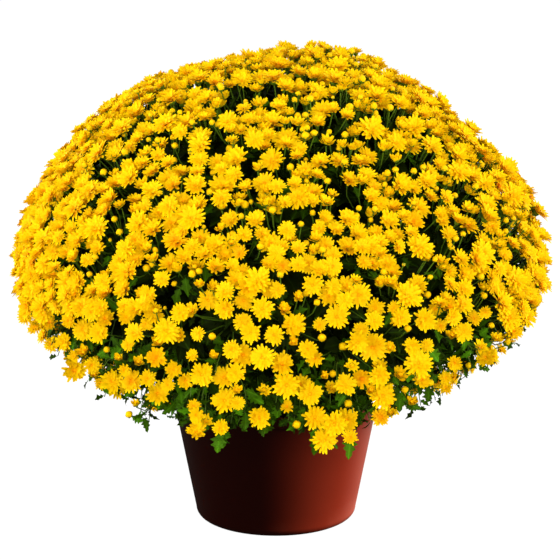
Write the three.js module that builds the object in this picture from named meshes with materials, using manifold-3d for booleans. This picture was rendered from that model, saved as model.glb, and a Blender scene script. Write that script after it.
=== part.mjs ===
// A pot chrysanthemum: a garden mum in full bloom, grown as one dome in a plain plastic mum pan.
//
// Units are millimetres and +Z is up. The origin is the centre of the pot's flat foot.
// The plant has one woody root crown in the soil. Eighteen stems leave the crown, and each carries
// a mass of leaves with a cushion of flower heads on it. The leaf masses and the flower cushions
// are soft, so each is one closed solid of the space that the leaves or the flower heads fill.
import * as THREE from "three";
import { mergeVertices } from "three/addons/utils/BufferGeometryUtils.js";
import Module from "manifold-3d";

const wasm = await Module();
wasm.setup();

// ---------------------------------------------------------------- driving dimensions
const GAP = 0.3; // between two pieces that touch
const SEAT_GAP = 0.5; // between a stem's flat end and the facets of what it grows from or into

const POT_HEIGHT = 166;
const POT_WALL = 2.6;
const POT_FLAT_RADIUS = 92; // of the flat foot
const POT_CORNER_RADIUS = 11; // between the foot and the wall
const POT_LOW_RADIUS = 102.6; // of the wall, just above the rounded corner
const POT_HIGH_RADIUS = 132.6; // of the wall, under the rim
const RIM_DEPTH = 13; // of the rolled rim, measured down the wall
const RIM_OVERHANG = 4;
const POT_SEGMENTS = 48;

const DRAIN_HOLES = 6;
const DRAIN_HOLE_RADIUS = 6;
const DRAIN_CIRCLE_RADIUS = 66;
const DRAIN_HOLE_SIDES = 12;

const SOIL_BELOW_RIM = 20;
const SOIL_MOUND = 4; // how far the soil rises from the wall to the crown

const CROWN_NECK_RADIUS = 20; // where the crown stands in the soil
const CROWN_KNOB_RADIUS = 27;
const CROWN_BURIED = 12;
const KNOB_ABOVE_SOIL = 8; // of the knob's centre
const CROWN_SEGMENTS = 28;

const STEM_RADIUS = 2.9;
const STEM_SIDES = 6;
const STEM_STEPS = 9;
const STEM_LEAVING = 48; // how far a stem keeps the way in which it leaves the crown
const STEM_ARRIVING = 62; // how far it keeps the way in which it enters the leaves

const CANOPY_RADIUS = 346; // of the dome at its widest, over the flower heads
const CANOPY_CENTRE_HEIGHT = 325; // of the widest level above the ground
const CANOPY_RISE = 274; // from the widest level to the top
const CANOPY_DROP = 206; // how far the underside would reach below it, if it closed
const CANOPY_LUMP = 5; // height of the dome's gentle lumps
const LUMP_WAVES = [5, 6, 7]; // how many radians of a lump's wave pass from the centre to each side

const BLOOM_DEPTH = 30; // of the layer of flower heads
const HEAD_BUMP = 2.5; // height of the bumps that the heads make
const HEAD_WAVES = [31, 29, 27]; // as LUMP_WAVES, for the heads
const BLOOM_EDGE_DROP = 12; // how far a flower cushion falls away at its edge
const LEAF_INNER_SHARE = 0.66; // of the dome's radius, where the leaves begin
const LEAF_INNER_RISE = 0.06; // how much further out they begin at the edge of a leaf mass
const CELL_GAP = 2; // between neighbouring leaf masses, where they are narrowest
const CELL_SPOKES = 16;
const CELL_RINGS = [0.5, 1]; // where the leaf mass and its cushion of heads meet facet to facet
const LOWEST_ANGLE = THREE.MathUtils.degToRad(139); // of the dome's open underside, from straight up
const WIDEST_REACH = Math.PI / 3; // past any cell's edge, from its middle
const REACH_PRECISION = 1e-7; // radians

// Each ring of stems: how many, how far from straight up its cushions lie and its stems leave the
// crown, and where round the dome the first one is.
const RINGS = [
  { name: "top", count: 1, cushionAngle: 0, stemAngle: 0, turn: 0 },
  { name: "upper", count: 4, cushionAngle: 42, stemAngle: 36, turn: 45 },
  { name: "middle", count: 7, cushionAngle: 80, stemAngle: 62, turn: 12 },
  { name: "lower", count: 6, cushionAngle: 116, stemAngle: 87, turn: 30 },
];

// ---------------------------------------------------------------- materials
const paint = (color, roughness) =>
  new THREE.MeshStandardMaterial({ color, roughness, metalness: 0 });
const potPlastic = paint(0x5e1f14, 0.45);
const pottingSoil = paint(0x2a1d14, 0.95);
const woodyStem = paint(0x5b4a2a, 0.8);
const greenStem = paint(0x47702a, 0.6);
const leafGreen = paint(0x2a5a18, 0.55);
const petalYellow = paint(0xffcf0a, 0.6);

// ---------------------------------------------------------------- shared helpers
const group = new THREE.Group();

function addNode(name, geometry, material) {
  const mesh = new THREE.Mesh(geometry, material);
  mesh.name = name;
  group.add(mesh);
}

// A profile of [radius, height] points turned about +Z.
function turned(points, segments) {
  const profile = points.map(([radius, height]) => new THREE.Vector2(radius, height));
  return new THREE.LatheGeometry(profile, segments).rotateX(Math.PI / 2);
}

function toSolid(geometry) {
  const bare = geometry.clone();
  bare.deleteAttribute("normal");
  bare.deleteAttribute("uv");
  const merged = mergeVertices(bare, 1e-3);
  return new wasm.Manifold(
    new wasm.Mesh({
      numProp: 3,
      vertProperties: merged.attributes.position.array,
      triVerts: new Uint32Array(merged.index.array),
    }),
  );
}

function toGeometry(solid) {
  const mesh = solid.getMesh();
  return new THREE.BufferGeometry()
    .setAttribute("position", new THREE.BufferAttribute(mesh.vertProperties, 3))
    .setIndex(new THREE.BufferAttribute(mesh.triVerts, 1));
}

// A unit vector at an angle from straight up and a turn round +Z, both in degrees.
function direction(angle, turn) {
  const [down, round] = [angle, turn].map(THREE.MathUtils.degToRad);
  return new THREE.Vector3(
    Math.sin(down) * Math.cos(round),
    Math.sin(down) * Math.sin(round),
    Math.cos(down),
  );
}

// ---------------------------------------------------------------- pot
const wallSlope = (POT_HIGH_RADIUS - POT_LOW_RADIUS) / (POT_HEIGHT - POT_CORNER_RADIUS);
const wallRadius = (height) => POT_LOW_RADIUS + wallSlope * (height - POT_CORNER_RADIUS);

// The rounded corner, as an arc from the flat foot up to the wall, drawn `inside` mm inwards.
function cornerArc(inside, steps) {
  const points = [];
  for (let i = 0; i <= steps; i += 1) {
    const angle = (Math.PI / 2) * (i / steps);
    points.push([
      POT_FLAT_RADIUS + (POT_LOW_RADIUS - POT_FLAT_RADIUS - inside) * Math.sin(angle),
      inside + (POT_CORNER_RADIUS - inside) * (1 - Math.cos(angle)),
    ]);
  }
  return points;
}

function pot() {
  const rimOuter = wallRadius(POT_HEIGHT) + RIM_OVERHANG;
  const outer = [
    ...cornerArc(0, 4),
    [wallRadius(POT_HEIGHT - RIM_DEPTH), POT_HEIGHT - RIM_DEPTH],
    [rimOuter - 1, POT_HEIGHT - RIM_DEPTH + 0.5],
    [rimOuter, POT_HEIGHT - 2],
    [rimOuter - 2, POT_HEIGHT],
  ];
  const inner = [
    [wallRadius(POT_HEIGHT) - POT_WALL, POT_HEIGHT],
    ...cornerArc(POT_WALL, 3).reverse(),
  ];
  const body = toSolid(turned([[0, 0], ...outer, ...inner, [0, POT_WALL]], POT_SEGMENTS));
  const drill = toSolid(
    new THREE.CylinderGeometry(
      DRAIN_HOLE_RADIUS,
      DRAIN_HOLE_RADIUS,
      POT_WALL * 4,
      DRAIN_HOLE_SIDES,
    ).rotateX(Math.PI / 2),
  );
  let drilled = body;
  for (let i = 0; i < DRAIN_HOLES; i += 1) {
    const turn = (2 * Math.PI * i) / DRAIN_HOLES;
    const place = [
      DRAIN_CIRCLE_RADIUS * Math.cos(turn),
      DRAIN_CIRCLE_RADIUS * Math.sin(turn),
      0,
    ];
    drilled = drilled.subtract(drill.translate(place));
  }
  return toGeometry(drilled);
}

// ---------------------------------------------------------------- soil and root crown
const soilEdge = POT_HEIGHT - SOIL_BELOW_RIM;
const soilTop = soilEdge + SOIL_MOUND;
const crownFoot = soilTop - CROWN_BURIED;
const knobCentre = new THREE.Vector3(0, 0, soilTop + KNOB_ABOVE_SOIL);

function soil() {
  const inside = POT_WALL + GAP;
  const side = cornerArc(inside, 3);
  const pocket = CROWN_NECK_RADIUS + GAP;
  return turned(
    [
      [0, inside],
      ...side,
      [wallRadius(soilEdge) - inside, soilEdge],
      [wallRadius(soilEdge) * 0.6, soilEdge + SOIL_MOUND * 0.7],
      [pocket, soilTop],
      [pocket, crownFoot - GAP],
      [0, crownFoot - GAP],
    ],
    POT_SEGMENTS,
  );
}

function rootCrown() {
  const dome = [];
  const first = Math.acos((1 - KNOB_ABOVE_SOIL) / CROWN_KNOB_RADIUS); // 1 mm clear of the soil
  const steps = 8;
  for (let i = 0; i < steps; i += 1) {
    const angle = first * (1 - i / steps);
    dome.push([
      CROWN_KNOB_RADIUS * Math.sin(angle),
      knobCentre.z + CROWN_KNOB_RADIUS * Math.cos(angle),
    ]);
  }
  return turned(
    [
      [0, crownFoot],
      [CROWN_NECK_RADIUS - 1, crownFoot],
      [CROWN_NECK_RADIUS, crownFoot + 3],
      [CROWN_NECK_RADIUS, soilTop + 0.8],
      ...dome,
      [0, knobCentre.z + CROWN_KNOB_RADIUS],
    ],
    CROWN_SEGMENTS,
  );
}

// ---------------------------------------------------------------- dome
const canopyCentre = new THREE.Vector3(0, 0, CANOPY_CENTRE_HEIGHT);

// The dome's radius along a unit vector from its centre: two half ellipsoids with gentle lumps.
function canopyRadius(d) {
  const semiHeight = d.z > 0 ? CANOPY_RISE : CANOPY_DROP;
  const across = (d.x * d.x + d.y * d.y) / (CANOPY_RADIUS * CANOPY_RADIUS);
  const up = (d.z * d.z) / (semiHeight * semiHeight);
  const [alongX, alongY, alongZ] = LUMP_WAVES;
  const lumps = Math.sin(alongX * d.x + 1) * Math.sin(alongY * d.y + 2) * Math.cos(alongZ * d.z);
  return 1 / Math.sqrt(across + up) + CANOPY_LUMP * (lumps - 0.4);
}

// How steeply the dome's surface crosses a direction from its centre: 0 where it lies square to it.
function canopySlope(d) {
  const semiHeight = d.z > 0 ? CANOPY_RISE : CANOPY_DROP;
  const outward = new THREE.Vector3(
    d.x / CANOPY_RADIUS ** 2,
    d.y / CANOPY_RADIUS ** 2,
    d.z / semiHeight ** 2,
  );
  return Math.tan(d.angleTo(outward));
}

const branches = RINGS.flatMap((ring) =>
  Array.from({ length: ring.count }, (_, i) => {
    const turn = ring.turn + (360 * i) / ring.count;
    const label = String(i + 1).padStart(2, "0");
    return {
      name: ring.count === 1 ? ring.name : `${ring.name}_${label}`,
      toCushion: direction(ring.cushionAngle, turn),
      fromCrown: direction(ring.stemAngle, turn),
    };
  }),
);

// How far a cell reaches from its middle: the largest angle at which a point `radius` mm out still
// lies on this branch's side of every neighbour, with the gap, and above the lowest angle.
function reach(branch, sideways, radius) {
  const inCell = (angle) => {
    const d = leaning(branch.toCushion, sideways, angle);
    if (Math.acos(d.z) > LOWEST_ANGLE) return false;
    return branches.every((other) => {
      if (other === branch) return true;
      const across = branch.toCushion.clone().sub(other.toCushion).normalize();
      return d.dot(across) * radius > CELL_GAP / 2;
    });
  };
  let low = 0;
  let high = WIDEST_REACH;
  while (high - low > REACH_PRECISION) {
    const middle = (low + high) / 2;
    if (inCell(middle)) low = middle;
    else high = middle;
  }
  return low;
}

// A unit vector turned by an angle towards another one that is square to it.
function leaning(d, sideways, angle) {
  return d.clone().multiplyScalar(Math.cos(angle)).addScaledVector(sideways, Math.sin(angle));
}

// The spokes of a branch's cell of the dome, from its middle to its edge.
function cellSpokes(branch) {
  const side = new THREE.Vector3(0, 1, 0).cross(branch.toCushion).normalize();
  const ahead = branch.toCushion.clone().cross(side).normalize();
  const innermost = canopyRadius(branch.toCushion) * LEAF_INNER_SHARE;
  return Array.from({ length: CELL_SPOKES }, (_, i) => {
    const sideways = leaning(side, ahead, (2 * Math.PI * i) / CELL_SPOKES);
    return { sideways, reach: reach(branch, sideways, innermost) };
  });
}

// A closed shell over a branch's cell: rings of points out to the edge on its outer face, and back
// on its inner face. The radii are functions of a direction and of the share of the way from the
// cell's middle to its edge.
function cellShell(branch, { outerRadius, innerRadius, outerRings, innerRings }) {
  const spokes = cellSpokes(branch);
  const vertices = [];
  const place = (spoke, share, radiusOf) => {
    const d = leaning(branch.toCushion, spoke.sideways, spoke.reach * share);
    vertices.push(canopyCentre.clone().addScaledVector(d, radiusOf(d, share)));
    return vertices.length - 1;
  };
  const outerPole = place(spokes[0], 0, outerRadius);
  const innerPole = place(spokes[0], 0, innerRadius);
  const rings = [
    ...outerRings.map((share) => spokes.map((spoke) => place(spoke, share, outerRadius))),
    ...innerRings.map((share) => spokes.map((spoke) => place(spoke, share, innerRadius))),
  ];
  const triangles = [];
  for (let i = 0; i < CELL_SPOKES; i += 1) {
    const next = (i + 1) % CELL_SPOKES;
    triangles.push(outerPole, rings[0][i], rings[0][next]);
    for (let r = 0; r + 1 < rings.length; r += 1) {
      const [a, b] = [rings[r][i], rings[r][next]];
      const [c, d] = [rings[r + 1][i], rings[r + 1][next]];
      // Both faces are split along the same diagonals, so that two shells can meet facet to facet.
      if (r < outerRings.length) triangles.push(a, c, b, b, c, d);
      else triangles.push(a, c, d, a, d, b);
    }
    triangles.push(rings.at(-1)[i], innerPole, rings.at(-1)[next]);
  }
  const positions = vertices.flatMap((vertex) => vertex.toArray());
  return new THREE.BufferGeometry()
    .setAttribute("position", new THREE.Float32BufferAttribute(positions, 3))
    .setIndex(triangles);
}

// The heads' own bumps, which fade out at the cushion's edge.
function headBumps(d, share) {
  const [alongX, alongY, alongZ] = HEAD_WAVES;
  const waves =
    Math.sin(alongX * d.x + 4 * d.z) * Math.sin(alongY * d.y + 3) +
    Math.sin(alongZ * d.z + 9 * d.x);
  return HEAD_BUMP * waves * (1 - share ** 4);
}

function blooms(branch) {
  return cellShell(branch, {
    outerRadius: (d, share) =>
      canopyRadius(d) + headBumps(d, share) - BLOOM_EDGE_DROP * share ** 4,
    innerRadius: (d) => canopyRadius(d) - BLOOM_DEPTH,
    outerRings: [0.3, 0.6, 0.82, 1],
    innerRings: [...CELL_RINGS].reverse(),
  });
}

function leaves(branch) {
  return cellShell(branch, {
    outerRadius: (d) => canopyRadius(d) - BLOOM_DEPTH - GAP,
    innerRadius: (d, share) => canopyRadius(d) * (LEAF_INNER_SHARE + LEAF_INNER_RISE * share ** 2),
    outerRings: CELL_RINGS,
    innerRings: [0.86, 0.45],
  });
}

function stem(branch) {
  const start = knobCentre
    .clone()
    .addScaledVector(branch.fromCrown, CROWN_KNOB_RADIUS + SEAT_GAP);
  // The flat end stops short enough for its upper edge to clear the sloping leaf mass.
  const stop = SEAT_GAP + STEM_RADIUS * canopySlope(branch.toCushion);
  const reached = canopyRadius(branch.toCushion) * LEAF_INNER_SHARE - stop;
  const end = canopyCentre.clone().addScaledVector(branch.toCushion, reached);
  const path = new THREE.CubicBezierCurve3(
    start,
    start.clone().addScaledVector(branch.fromCrown, STEM_LEAVING),
    end.clone().addScaledVector(branch.toCushion, -STEM_ARRIVING),
    end,
  );
  const section = new THREE.Shape(
    Array.from({ length: STEM_SIDES }, (_, i) => {
      const turn = (2 * Math.PI * i) / STEM_SIDES;
      return new THREE.Vector2(STEM_RADIUS * Math.cos(turn), STEM_RADIUS * Math.sin(turn));
    }),
  );
  return new THREE.ExtrudeGeometry(section, {
    steps: STEM_STEPS,
    extrudePath: path,
    bevelEnabled: false,
  });
}

// ---------------------------------------------------------------- assembly
addNode("pot", pot(), potPlastic);
addNode("soil", soil(), pottingSoil);
addNode("root_crown", rootCrown(), woodyStem);
for (const branch of branches) {
  addNode(`stem_${branch.name}`, stem(branch), greenStem);
  addNode(`leaves_${branch.name}`, leaves(branch), leafGreen);
  addNode(`blooms_${branch.name}`, blooms(branch), petalYellow);
}

export default group;
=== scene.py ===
"""A pot chrysanthemum in full bloom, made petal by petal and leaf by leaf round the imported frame.

Units are metres and +Z is up. The front of the plant faces -Y. Everything random comes from
generators with fixed seeds.
"""

import math
from collections import namedtuple

import bpy
import numpy as np
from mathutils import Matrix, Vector


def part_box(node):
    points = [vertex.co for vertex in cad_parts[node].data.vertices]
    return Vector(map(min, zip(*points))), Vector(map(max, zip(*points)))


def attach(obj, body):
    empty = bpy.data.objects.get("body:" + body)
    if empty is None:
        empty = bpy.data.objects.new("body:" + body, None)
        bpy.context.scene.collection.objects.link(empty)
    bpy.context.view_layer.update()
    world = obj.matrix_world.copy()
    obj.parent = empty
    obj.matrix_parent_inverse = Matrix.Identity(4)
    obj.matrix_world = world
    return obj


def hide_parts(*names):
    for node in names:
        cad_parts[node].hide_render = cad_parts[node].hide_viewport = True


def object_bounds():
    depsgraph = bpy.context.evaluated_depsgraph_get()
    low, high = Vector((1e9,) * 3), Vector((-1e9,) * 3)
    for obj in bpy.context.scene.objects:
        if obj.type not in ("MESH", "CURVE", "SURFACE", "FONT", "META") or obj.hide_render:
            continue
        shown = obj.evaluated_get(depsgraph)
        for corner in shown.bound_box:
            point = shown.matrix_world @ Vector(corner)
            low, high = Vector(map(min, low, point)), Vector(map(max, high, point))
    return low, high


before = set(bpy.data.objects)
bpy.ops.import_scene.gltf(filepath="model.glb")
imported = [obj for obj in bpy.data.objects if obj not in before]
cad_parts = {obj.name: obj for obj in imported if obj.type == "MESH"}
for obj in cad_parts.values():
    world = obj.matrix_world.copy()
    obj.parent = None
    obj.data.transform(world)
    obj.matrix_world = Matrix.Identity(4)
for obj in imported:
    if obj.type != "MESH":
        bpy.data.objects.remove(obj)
cad_low, cad_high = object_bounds()

MM = 0.001
X, Y, Z = range(3)
UP = np.array([0.0, 0.0, 1.0])
FRONT = np.array([0.0, -1.0, 0.0])
LEVEL = np.array([1.0, 1.0, 0.0])  # times this, a vector lies level
WAVES, WAVES_HEIGHT = 7, 3.2  # how many waves make up a random field, and about how high it gets


# ---------------------------------------------------------------- vectors and objects
def unit(vectors):
    return vectors / np.linalg.norm(vectors, axis=-1, keepdims=True)


def fade(value, start, over):
    """0 at `start`, 1 at `start + over`, which may be the lower of the two, and even between."""
    return np.clip((value - start) / over, 0, 1)


def around(sides):
    """The angles of a ring's points."""
    return np.arange(sides) * 2 * math.pi / sides


def circle(radius, turn, height):
    """Points at an angle round the Z axis."""
    return np.stack(np.broadcast_arrays(radius * np.cos(turn), radius * np.sin(turn), height), -1)


def rotated(points, angle, first, second):
    """Points turned from the first axis towards the second."""
    matrix = np.eye(3)
    matrix[first, first] = matrix[second, second] = math.cos(angle)
    matrix[first, second] = math.sin(angle)
    matrix[second, first] = -math.sin(angle)
    return points @ matrix


def lead_for(ways):
    """An axis that is far from parallel to each way."""
    return np.where(np.abs(ways[..., 2:]) > 0.9, [1.0, 0.0, 0.0], UP)


def waves(points, length, seed):
    """A smooth random field of about -1 to 1 with bumps about half of `length` across."""
    random = np.random.default_rng(seed)
    ways = unit(random.normal(size=(WAVES, 3))) * (2 * math.pi / length)
    shifts = random.uniform(0, 2 * math.pi, WAVES)
    return np.sin(points @ ways.T + shifts).sum(-1) / WAVES_HEIGHT


def add_object(name, data):
    """A new object in the scene, for a mesh, a light or the camera."""
    made = bpy.data.objects.new(name, data)
    bpy.context.scene.collection.objects.link(made)
    return made


def look(thing, way):
    """Turns a light or the camera to look along a vector."""
    thing.rotation_euler = Vector(way).to_track_quat("-Z", "Y").to_euler()


def finish_piece(piece, slot, *nodes):
    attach(piece, "root")
    if nodes:
        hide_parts(*nodes)


# ---------------------------------------------------------------- camera
PHOTO_SIDE = 560  # pixels
CAMERA_DISTANCE = 3.0
CAMERA_ELEVATION = math.radians(13.5)
CAMERA_LENS = 153.0
CAMERA_AIM = np.array([0.0052, 0.0, 0.307])
CAMERA_REACH = 100  # to past the floor's edge
SENSOR_WIDTH = 36.0

camera_forward = np.array([0.0, math.cos(CAMERA_ELEVATION), -math.sin(CAMERA_ELEVATION)])
camera_up = np.array([0.0, math.sin(CAMERA_ELEVATION), math.cos(CAMERA_ELEVATION)])
camera_right = np.array([1.0, 0.0, 0.0])
camera_place = CAMERA_AIM - CAMERA_DISTANCE * camera_forward
pixels_per_slope = PHOTO_SIDE * CAMERA_LENS / SENSOR_WIDTH


def make_camera():
    data = bpy.data.cameras.new("camera")
    data.lens = CAMERA_LENS
    data.sensor_width = SENSOR_WIDTH
    data.clip_end = CAMERA_REACH
    camera = add_object("camera", data)
    camera.location = camera_place
    look(camera, camera_forward)
    bpy.context.scene.camera = camera


def to_pixels(points):
    """Where points lie in the photo's frame."""
    offset = points - camera_place
    depth = offset @ camera_forward
    x = PHOTO_SIDE / 2 + pixels_per_slope * (offset @ camera_right) / depth
    y = PHOTO_SIDE / 2 - pixels_per_slope * (offset @ camera_up) / depth
    return np.stack([x, y], -1)


def pixel_ray(x, y):
    """The unit vector from the camera through a pixel of the photo's frame."""
    across = camera_right * (x - PHOTO_SIDE / 2) / pixels_per_slope
    down = camera_up * (y - PHOTO_SIDE / 2) / pixels_per_slope
    return unit(camera_forward + across - down)


def away_from_camera(points):
    return np.linalg.norm(points - camera_place, axis=-1)


# ---------------------------------------------------------------- the dome
DOME_CENTRE_HEIGHT = 0.325
DOME_DROP = 0.184  # how far the underside would reach below the widest level, if it closed
DOME_LEAN = 0.005  # how far the dome has grown to the right of the pot's axis
LOWEST_ANGLE = math.radians(139)  # of the dome's open underside, from straight up
HEADS_INSIDE = 0.016  # from the CAD dome's outermost points to the level of the heads' feet
LUMP_HEIGHT = 0.005
# Flatter parts of the outline: the way to them (right, back, up), their depth and half width.
DENTS = (
    ((0.80, 0.10, 0.59), 0.027, 13),
    ((-0.98, 0.0, 0.17), 0.009, 15),
    ((0.33, 0.10, 0.94), -0.006, 12),
    ((0.98, 0.0, -0.18), 0.020, 9),
    ((0.70, -0.05, -0.71), 0.040, 24),
    ((-0.72, -0.05, -0.69), 0.026, 22),
    ((-0.92, -0.10, -0.38), 0.010, 14),
    ((-0.84, 0.0, 0.54), 0.010, 18),
    ((-0.34, 0.10, 0.94), 0.007, 15),
    ((0.52, 0.10, 0.85), 0.008, 9),
)
RAY_STEPS = np.linspace(1.8, 3.6, 4000)[:, None]  # the distances from the camera that a ray is tried at

dome_radius = (cad_high.x - cad_low.x) / 2 - HEADS_INSIDE
dome_rise = cad_high.z - DOME_CENTRE_HEIGHT - HEADS_INSIDE
dome_centre = np.array([DOME_LEAN, 0.0, DOME_CENTRE_HEIGHT])


def dome_reach(directions):
    """The dome's radius along unit vectors: two half ellipsoids with dents and gentle lumps."""
    semi = np.where(directions[..., 2] > 0, dome_rise, DOME_DROP)
    across = (directions[..., 0] ** 2 + directions[..., 1] ** 2) / dome_radius**2
    reach = 1 / np.sqrt(across + (directions[..., 2] / semi) ** 2)
    for way, depth, spread in DENTS:
        away = 1 - directions @ np.array(way)
        reach = reach - depth * np.exp(-away / (1 - math.cos(math.radians(spread))))
    return reach + LUMP_HEIGHT * waves(directions, length=0.6, seed=9)


def dome_normal(directions):
    """The ways straight out of the two half ellipsoids."""
    semi = np.where(directions[..., 2] > 0, dome_rise, DOME_DROP)
    wide = np.full_like(semi, dome_radius)
    return unit(directions / np.stack([wide, wide, semi], -1) ** 2)


def dome_point(directions, out=0.0):
    """Points of the dome's surface, moved out along its normal."""
    reach = dome_reach(directions)[..., None]
    return dome_centre + directions * reach + dome_normal(directions) * np.asarray(out)[..., None]


def hit_dome(x, y):
    """The direction from the dome's centre of the first point of the dome that a pixel shows."""
    offset = camera_place + pixel_ray(x, y) * RAY_STEPS - dome_centre
    distance = np.linalg.norm(offset, axis=1)
    directions = offset / distance[:, None]
    inside = distance < dome_reach(directions)
    return directions[np.argmax(inside) if inside.any() else np.argmin(distance)]


def fibonacci(count):
    """Unit vectors spread evenly over a sphere, in a shuffled order."""
    k = np.arange(count) + 0.5
    z = 1 - 2 * k / count
    directions = circle(np.sqrt(1 - z * z), k * math.pi * (3 - math.sqrt(5)), z)
    return directions[np.random.default_rng(seed=1).permutation(count)]


# ---------------------------------------------------------------- branches, read from the frame
STEM_RING_SIDES = 6  # of the CAD stems


def node_points(name):
    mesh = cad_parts[name].data
    flat = np.empty(len(mesh.vertices) * 3)
    mesh.vertices.foreach_get("co", flat)
    return np.unique(flat.reshape(-1, 3).round(6), axis=0)


def stem_line(name, crown):
    """The middle of each ring of a CAD stem, from the crown outwards."""
    points = node_points(name)
    order = np.argsort(np.linalg.norm(points - crown, axis=1))
    return points[order].reshape(-1, STEM_RING_SIDES, 3).mean(1)


crown_low, crown_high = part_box("root_crown")
crown_radius = (crown_high.x - crown_low.x) / 2
crown_middle = np.array([0, 0, crown_high.z - crown_radius])
branch_names = [n.removeprefix("blooms_") for n in sorted(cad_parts) if "blooms_" in n]
leaf_middles = np.array([node_points(f"leaves_{n}").mean(0) for n in branch_names])
branch_ways = unit(leaf_middles - [0, 0, DOME_CENTRE_HEIGHT])
branch_lines = [stem_line(f"stem_{n}", crown_middle) for n in branch_names]


# ---------------------------------------------------------------- meshes from arrays
class Batch:
    """Gathers shapes for one mesh, with named values for each point.

    A shape that comes with places takes the next of the bake map's equal square cells for them.
    """

    def __init__(self, cells=0):
        across = math.ceil(math.sqrt(max(cells, 1)))
        index = np.arange(cells)
        self.corners = iter(np.stack([index % across, index // across], -1) / across)
        self.cell_side = 1 / across
        self.points, self.triangles, self.places, self.values = [], [], [], {}
        self.count = 0

    def add(self, points, triangles, places=None, **values):
        self.points.append(points)
        self.triangles.append(triangles + self.count)
        if places is not None:
            self.places.append(next(self.corners) + places * self.cell_side)
        for name, value in values.items():
            self.values.setdefault(name, []).append(np.broadcast_to(value, len(points)))
        self.count += len(points)

    def build(self, name, material):
        triangles = np.concatenate(self.triangles).astype(np.int32)
        mesh = bpy.data.meshes.new(name)
        mesh.vertices.add(self.count)
        mesh.vertices.foreach_set("co", np.concatenate(self.points).astype(np.float32).ravel())
        mesh.loops.add(triangles.size)
        mesh.loops.foreach_set("vertex_index", triangles.ravel())
        mesh.polygons.add(len(triangles))
        mesh.polygons.foreach_set("loop_start", np.arange(0, triangles.size, 3, dtype=np.int32))
        mesh.polygons.foreach_set("use_smooth", np.ones(len(triangles), bool))
        mesh.update(calc_edges=True)
        if self.places:
            places = np.concatenate(self.places).astype(np.float32)
            mesh.uv_layers.new(name="OFBake").uv.foreach_set("vector", places[triangles.ravel()].ravel())
        for value_name, parts in self.values.items():
            attribute = mesh.attributes.new(value_name, "FLOAT", "POINT")
            attribute.data.foreach_set("value", np.concatenate(parts).astype(np.float32))
        mesh.materials.append(material)
        return add_object(name, mesh)


def join_shapes(shapes):
    """One (points, triangles, places, values...) shape out of several."""
    starts = np.cumsum([0] + [len(shape[0]) for shape in shapes])
    triangles = [shape[1] + start for shape, start in zip(shapes, starts)]
    points, _, *rest = (np.concatenate(column) for column in zip(*shapes))
    return (points, np.concatenate(triangles), *rest)


def wall(sides, rings):
    """The triangles between rings of points that follow each other, and the points' places."""
    a = np.arange(sides)
    b = (a + 1) % sides
    strip = np.concatenate([np.stack([a, b, b + sides], -1), np.stack([a, b + sides, a + sides], -1)])
    triangles = np.concatenate([strip + ring * sides for ring in range(rings - 1)])
    u = np.tile(np.abs(1 - 2 * a / sides), rings)
    v = np.repeat(np.linspace(0, 1, rings), sides)
    return triangles, np.stack([u, v], -1)


def fan(sides, start, tip):
    """The triangles between a ring of points, the first of them `start`, and one more point."""
    a = np.arange(sides)
    return np.stack([start + a, start + (a + 1) % sides, np.full(sides, tip)], -1)


def tubes(lines, radii, sides, tip=False):
    """Tubes along many lines at once: lines is (n, steps, 3), with a radius for each step.

    Returns points (n, steps * sides, 3), the triangles of one tube, and its places.
    """
    steps = lines.shape[1]
    along = unit(np.gradient(lines, axis=1))
    side = unit(np.cross(along, lead_for(along[:, :1])))
    ahead = np.cross(along, side)
    turn = around(sides)
    ring = side[:, :, None] * np.cos(turn)[:, None] + ahead[:, :, None] * np.sin(turn)[:, None]
    points = lines[:, :, None] + ring * radii[:, None, None]
    triangles, places = wall(sides, steps)
    if tip:
        corners = np.arange(1, sides - 1)
        end = (steps - 1) * sides + np.stack([0 * corners, corners, corners + 1], -1)
        triangles = np.concatenate([triangles, end])
    return points.reshape(len(lines), -1, 3), triangles, places


def bezier(start, start_pull, end_pull, end, steps):
    """Points of cubic curves: each argument is (n, 3), and the result (n, steps, 3)."""
    t = np.linspace(0, 1, steps)[None, :, None]
    a, b, c, d = (x[:, None] for x in (start, start_pull, end_pull, end))
    return a * (1 - t) ** 3 + 3 * b * t * (1 - t) ** 2 + 3 * c * t**2 * (1 - t) + d * t**3


# ---------------------------------------------------------------- flower heads
# A petal's levels from foot to tip: share of the length, share of the width, points across.
LONG_PETAL = ((0.0, 0.36, 2), (0.66, 1.0, 3), (1.0, 0.46, 2))
SHORT_PETAL = ((0.0, 0.5, 2), (0.62, 1.0, 3), (1.0, 0.46, 2))
INNER_PETAL = ((0.0, 0.5, 2), (0.60, 1.0, 2), (1.0, 0.0, 1))
BLUNT = ((0, 2, 3), (0, 3, 1), (1, 3, 4), (2, 5, 3), (3, 5, 6), (3, 6, 4))  # the first two's triangles
POINTED = ((0, 2, 3), (0, 3, 1), (2, 4, 3))  # and those of the inner petal
PETAL_CUP = 0.2  # how far a petal's edges rise, of its width
PETAL_FOOT_PAINTED_SHADE = 0.70  # painted shade: how much deeper in colour a petal's foot is than its tip, standing in for the shade in the creases where the petals overlap
PETAL_LENGTHS = 0.80, 1.10  # the shortest and the longest in a ring, as shares
PETAL_LIFT_SPREAD, PETAL_ROLL_SPREAD = 6, 10  # degrees
PETAL_TURN_SPREAD = 0.22  # of the angle between two petals
MIDDLE_SIDES = 7
MIDDLE_RING = 0.6  # how high its ring of points lies, of its height
BUD_SIDES = 8
BUD_HEIGHTS = (0.12, 0.7, 1.35, 1.85)  # of its rings
BUD_TOP = 2.02
BUD_WARMTH, BUD_TOP_FRESHER = 0.48, 0.15
CREASES = (0.07, 0.05)  # the depth of a bud's creases, on its even and its odd rings
CREASE_TWIST = 0.25  # radians a ring


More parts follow.
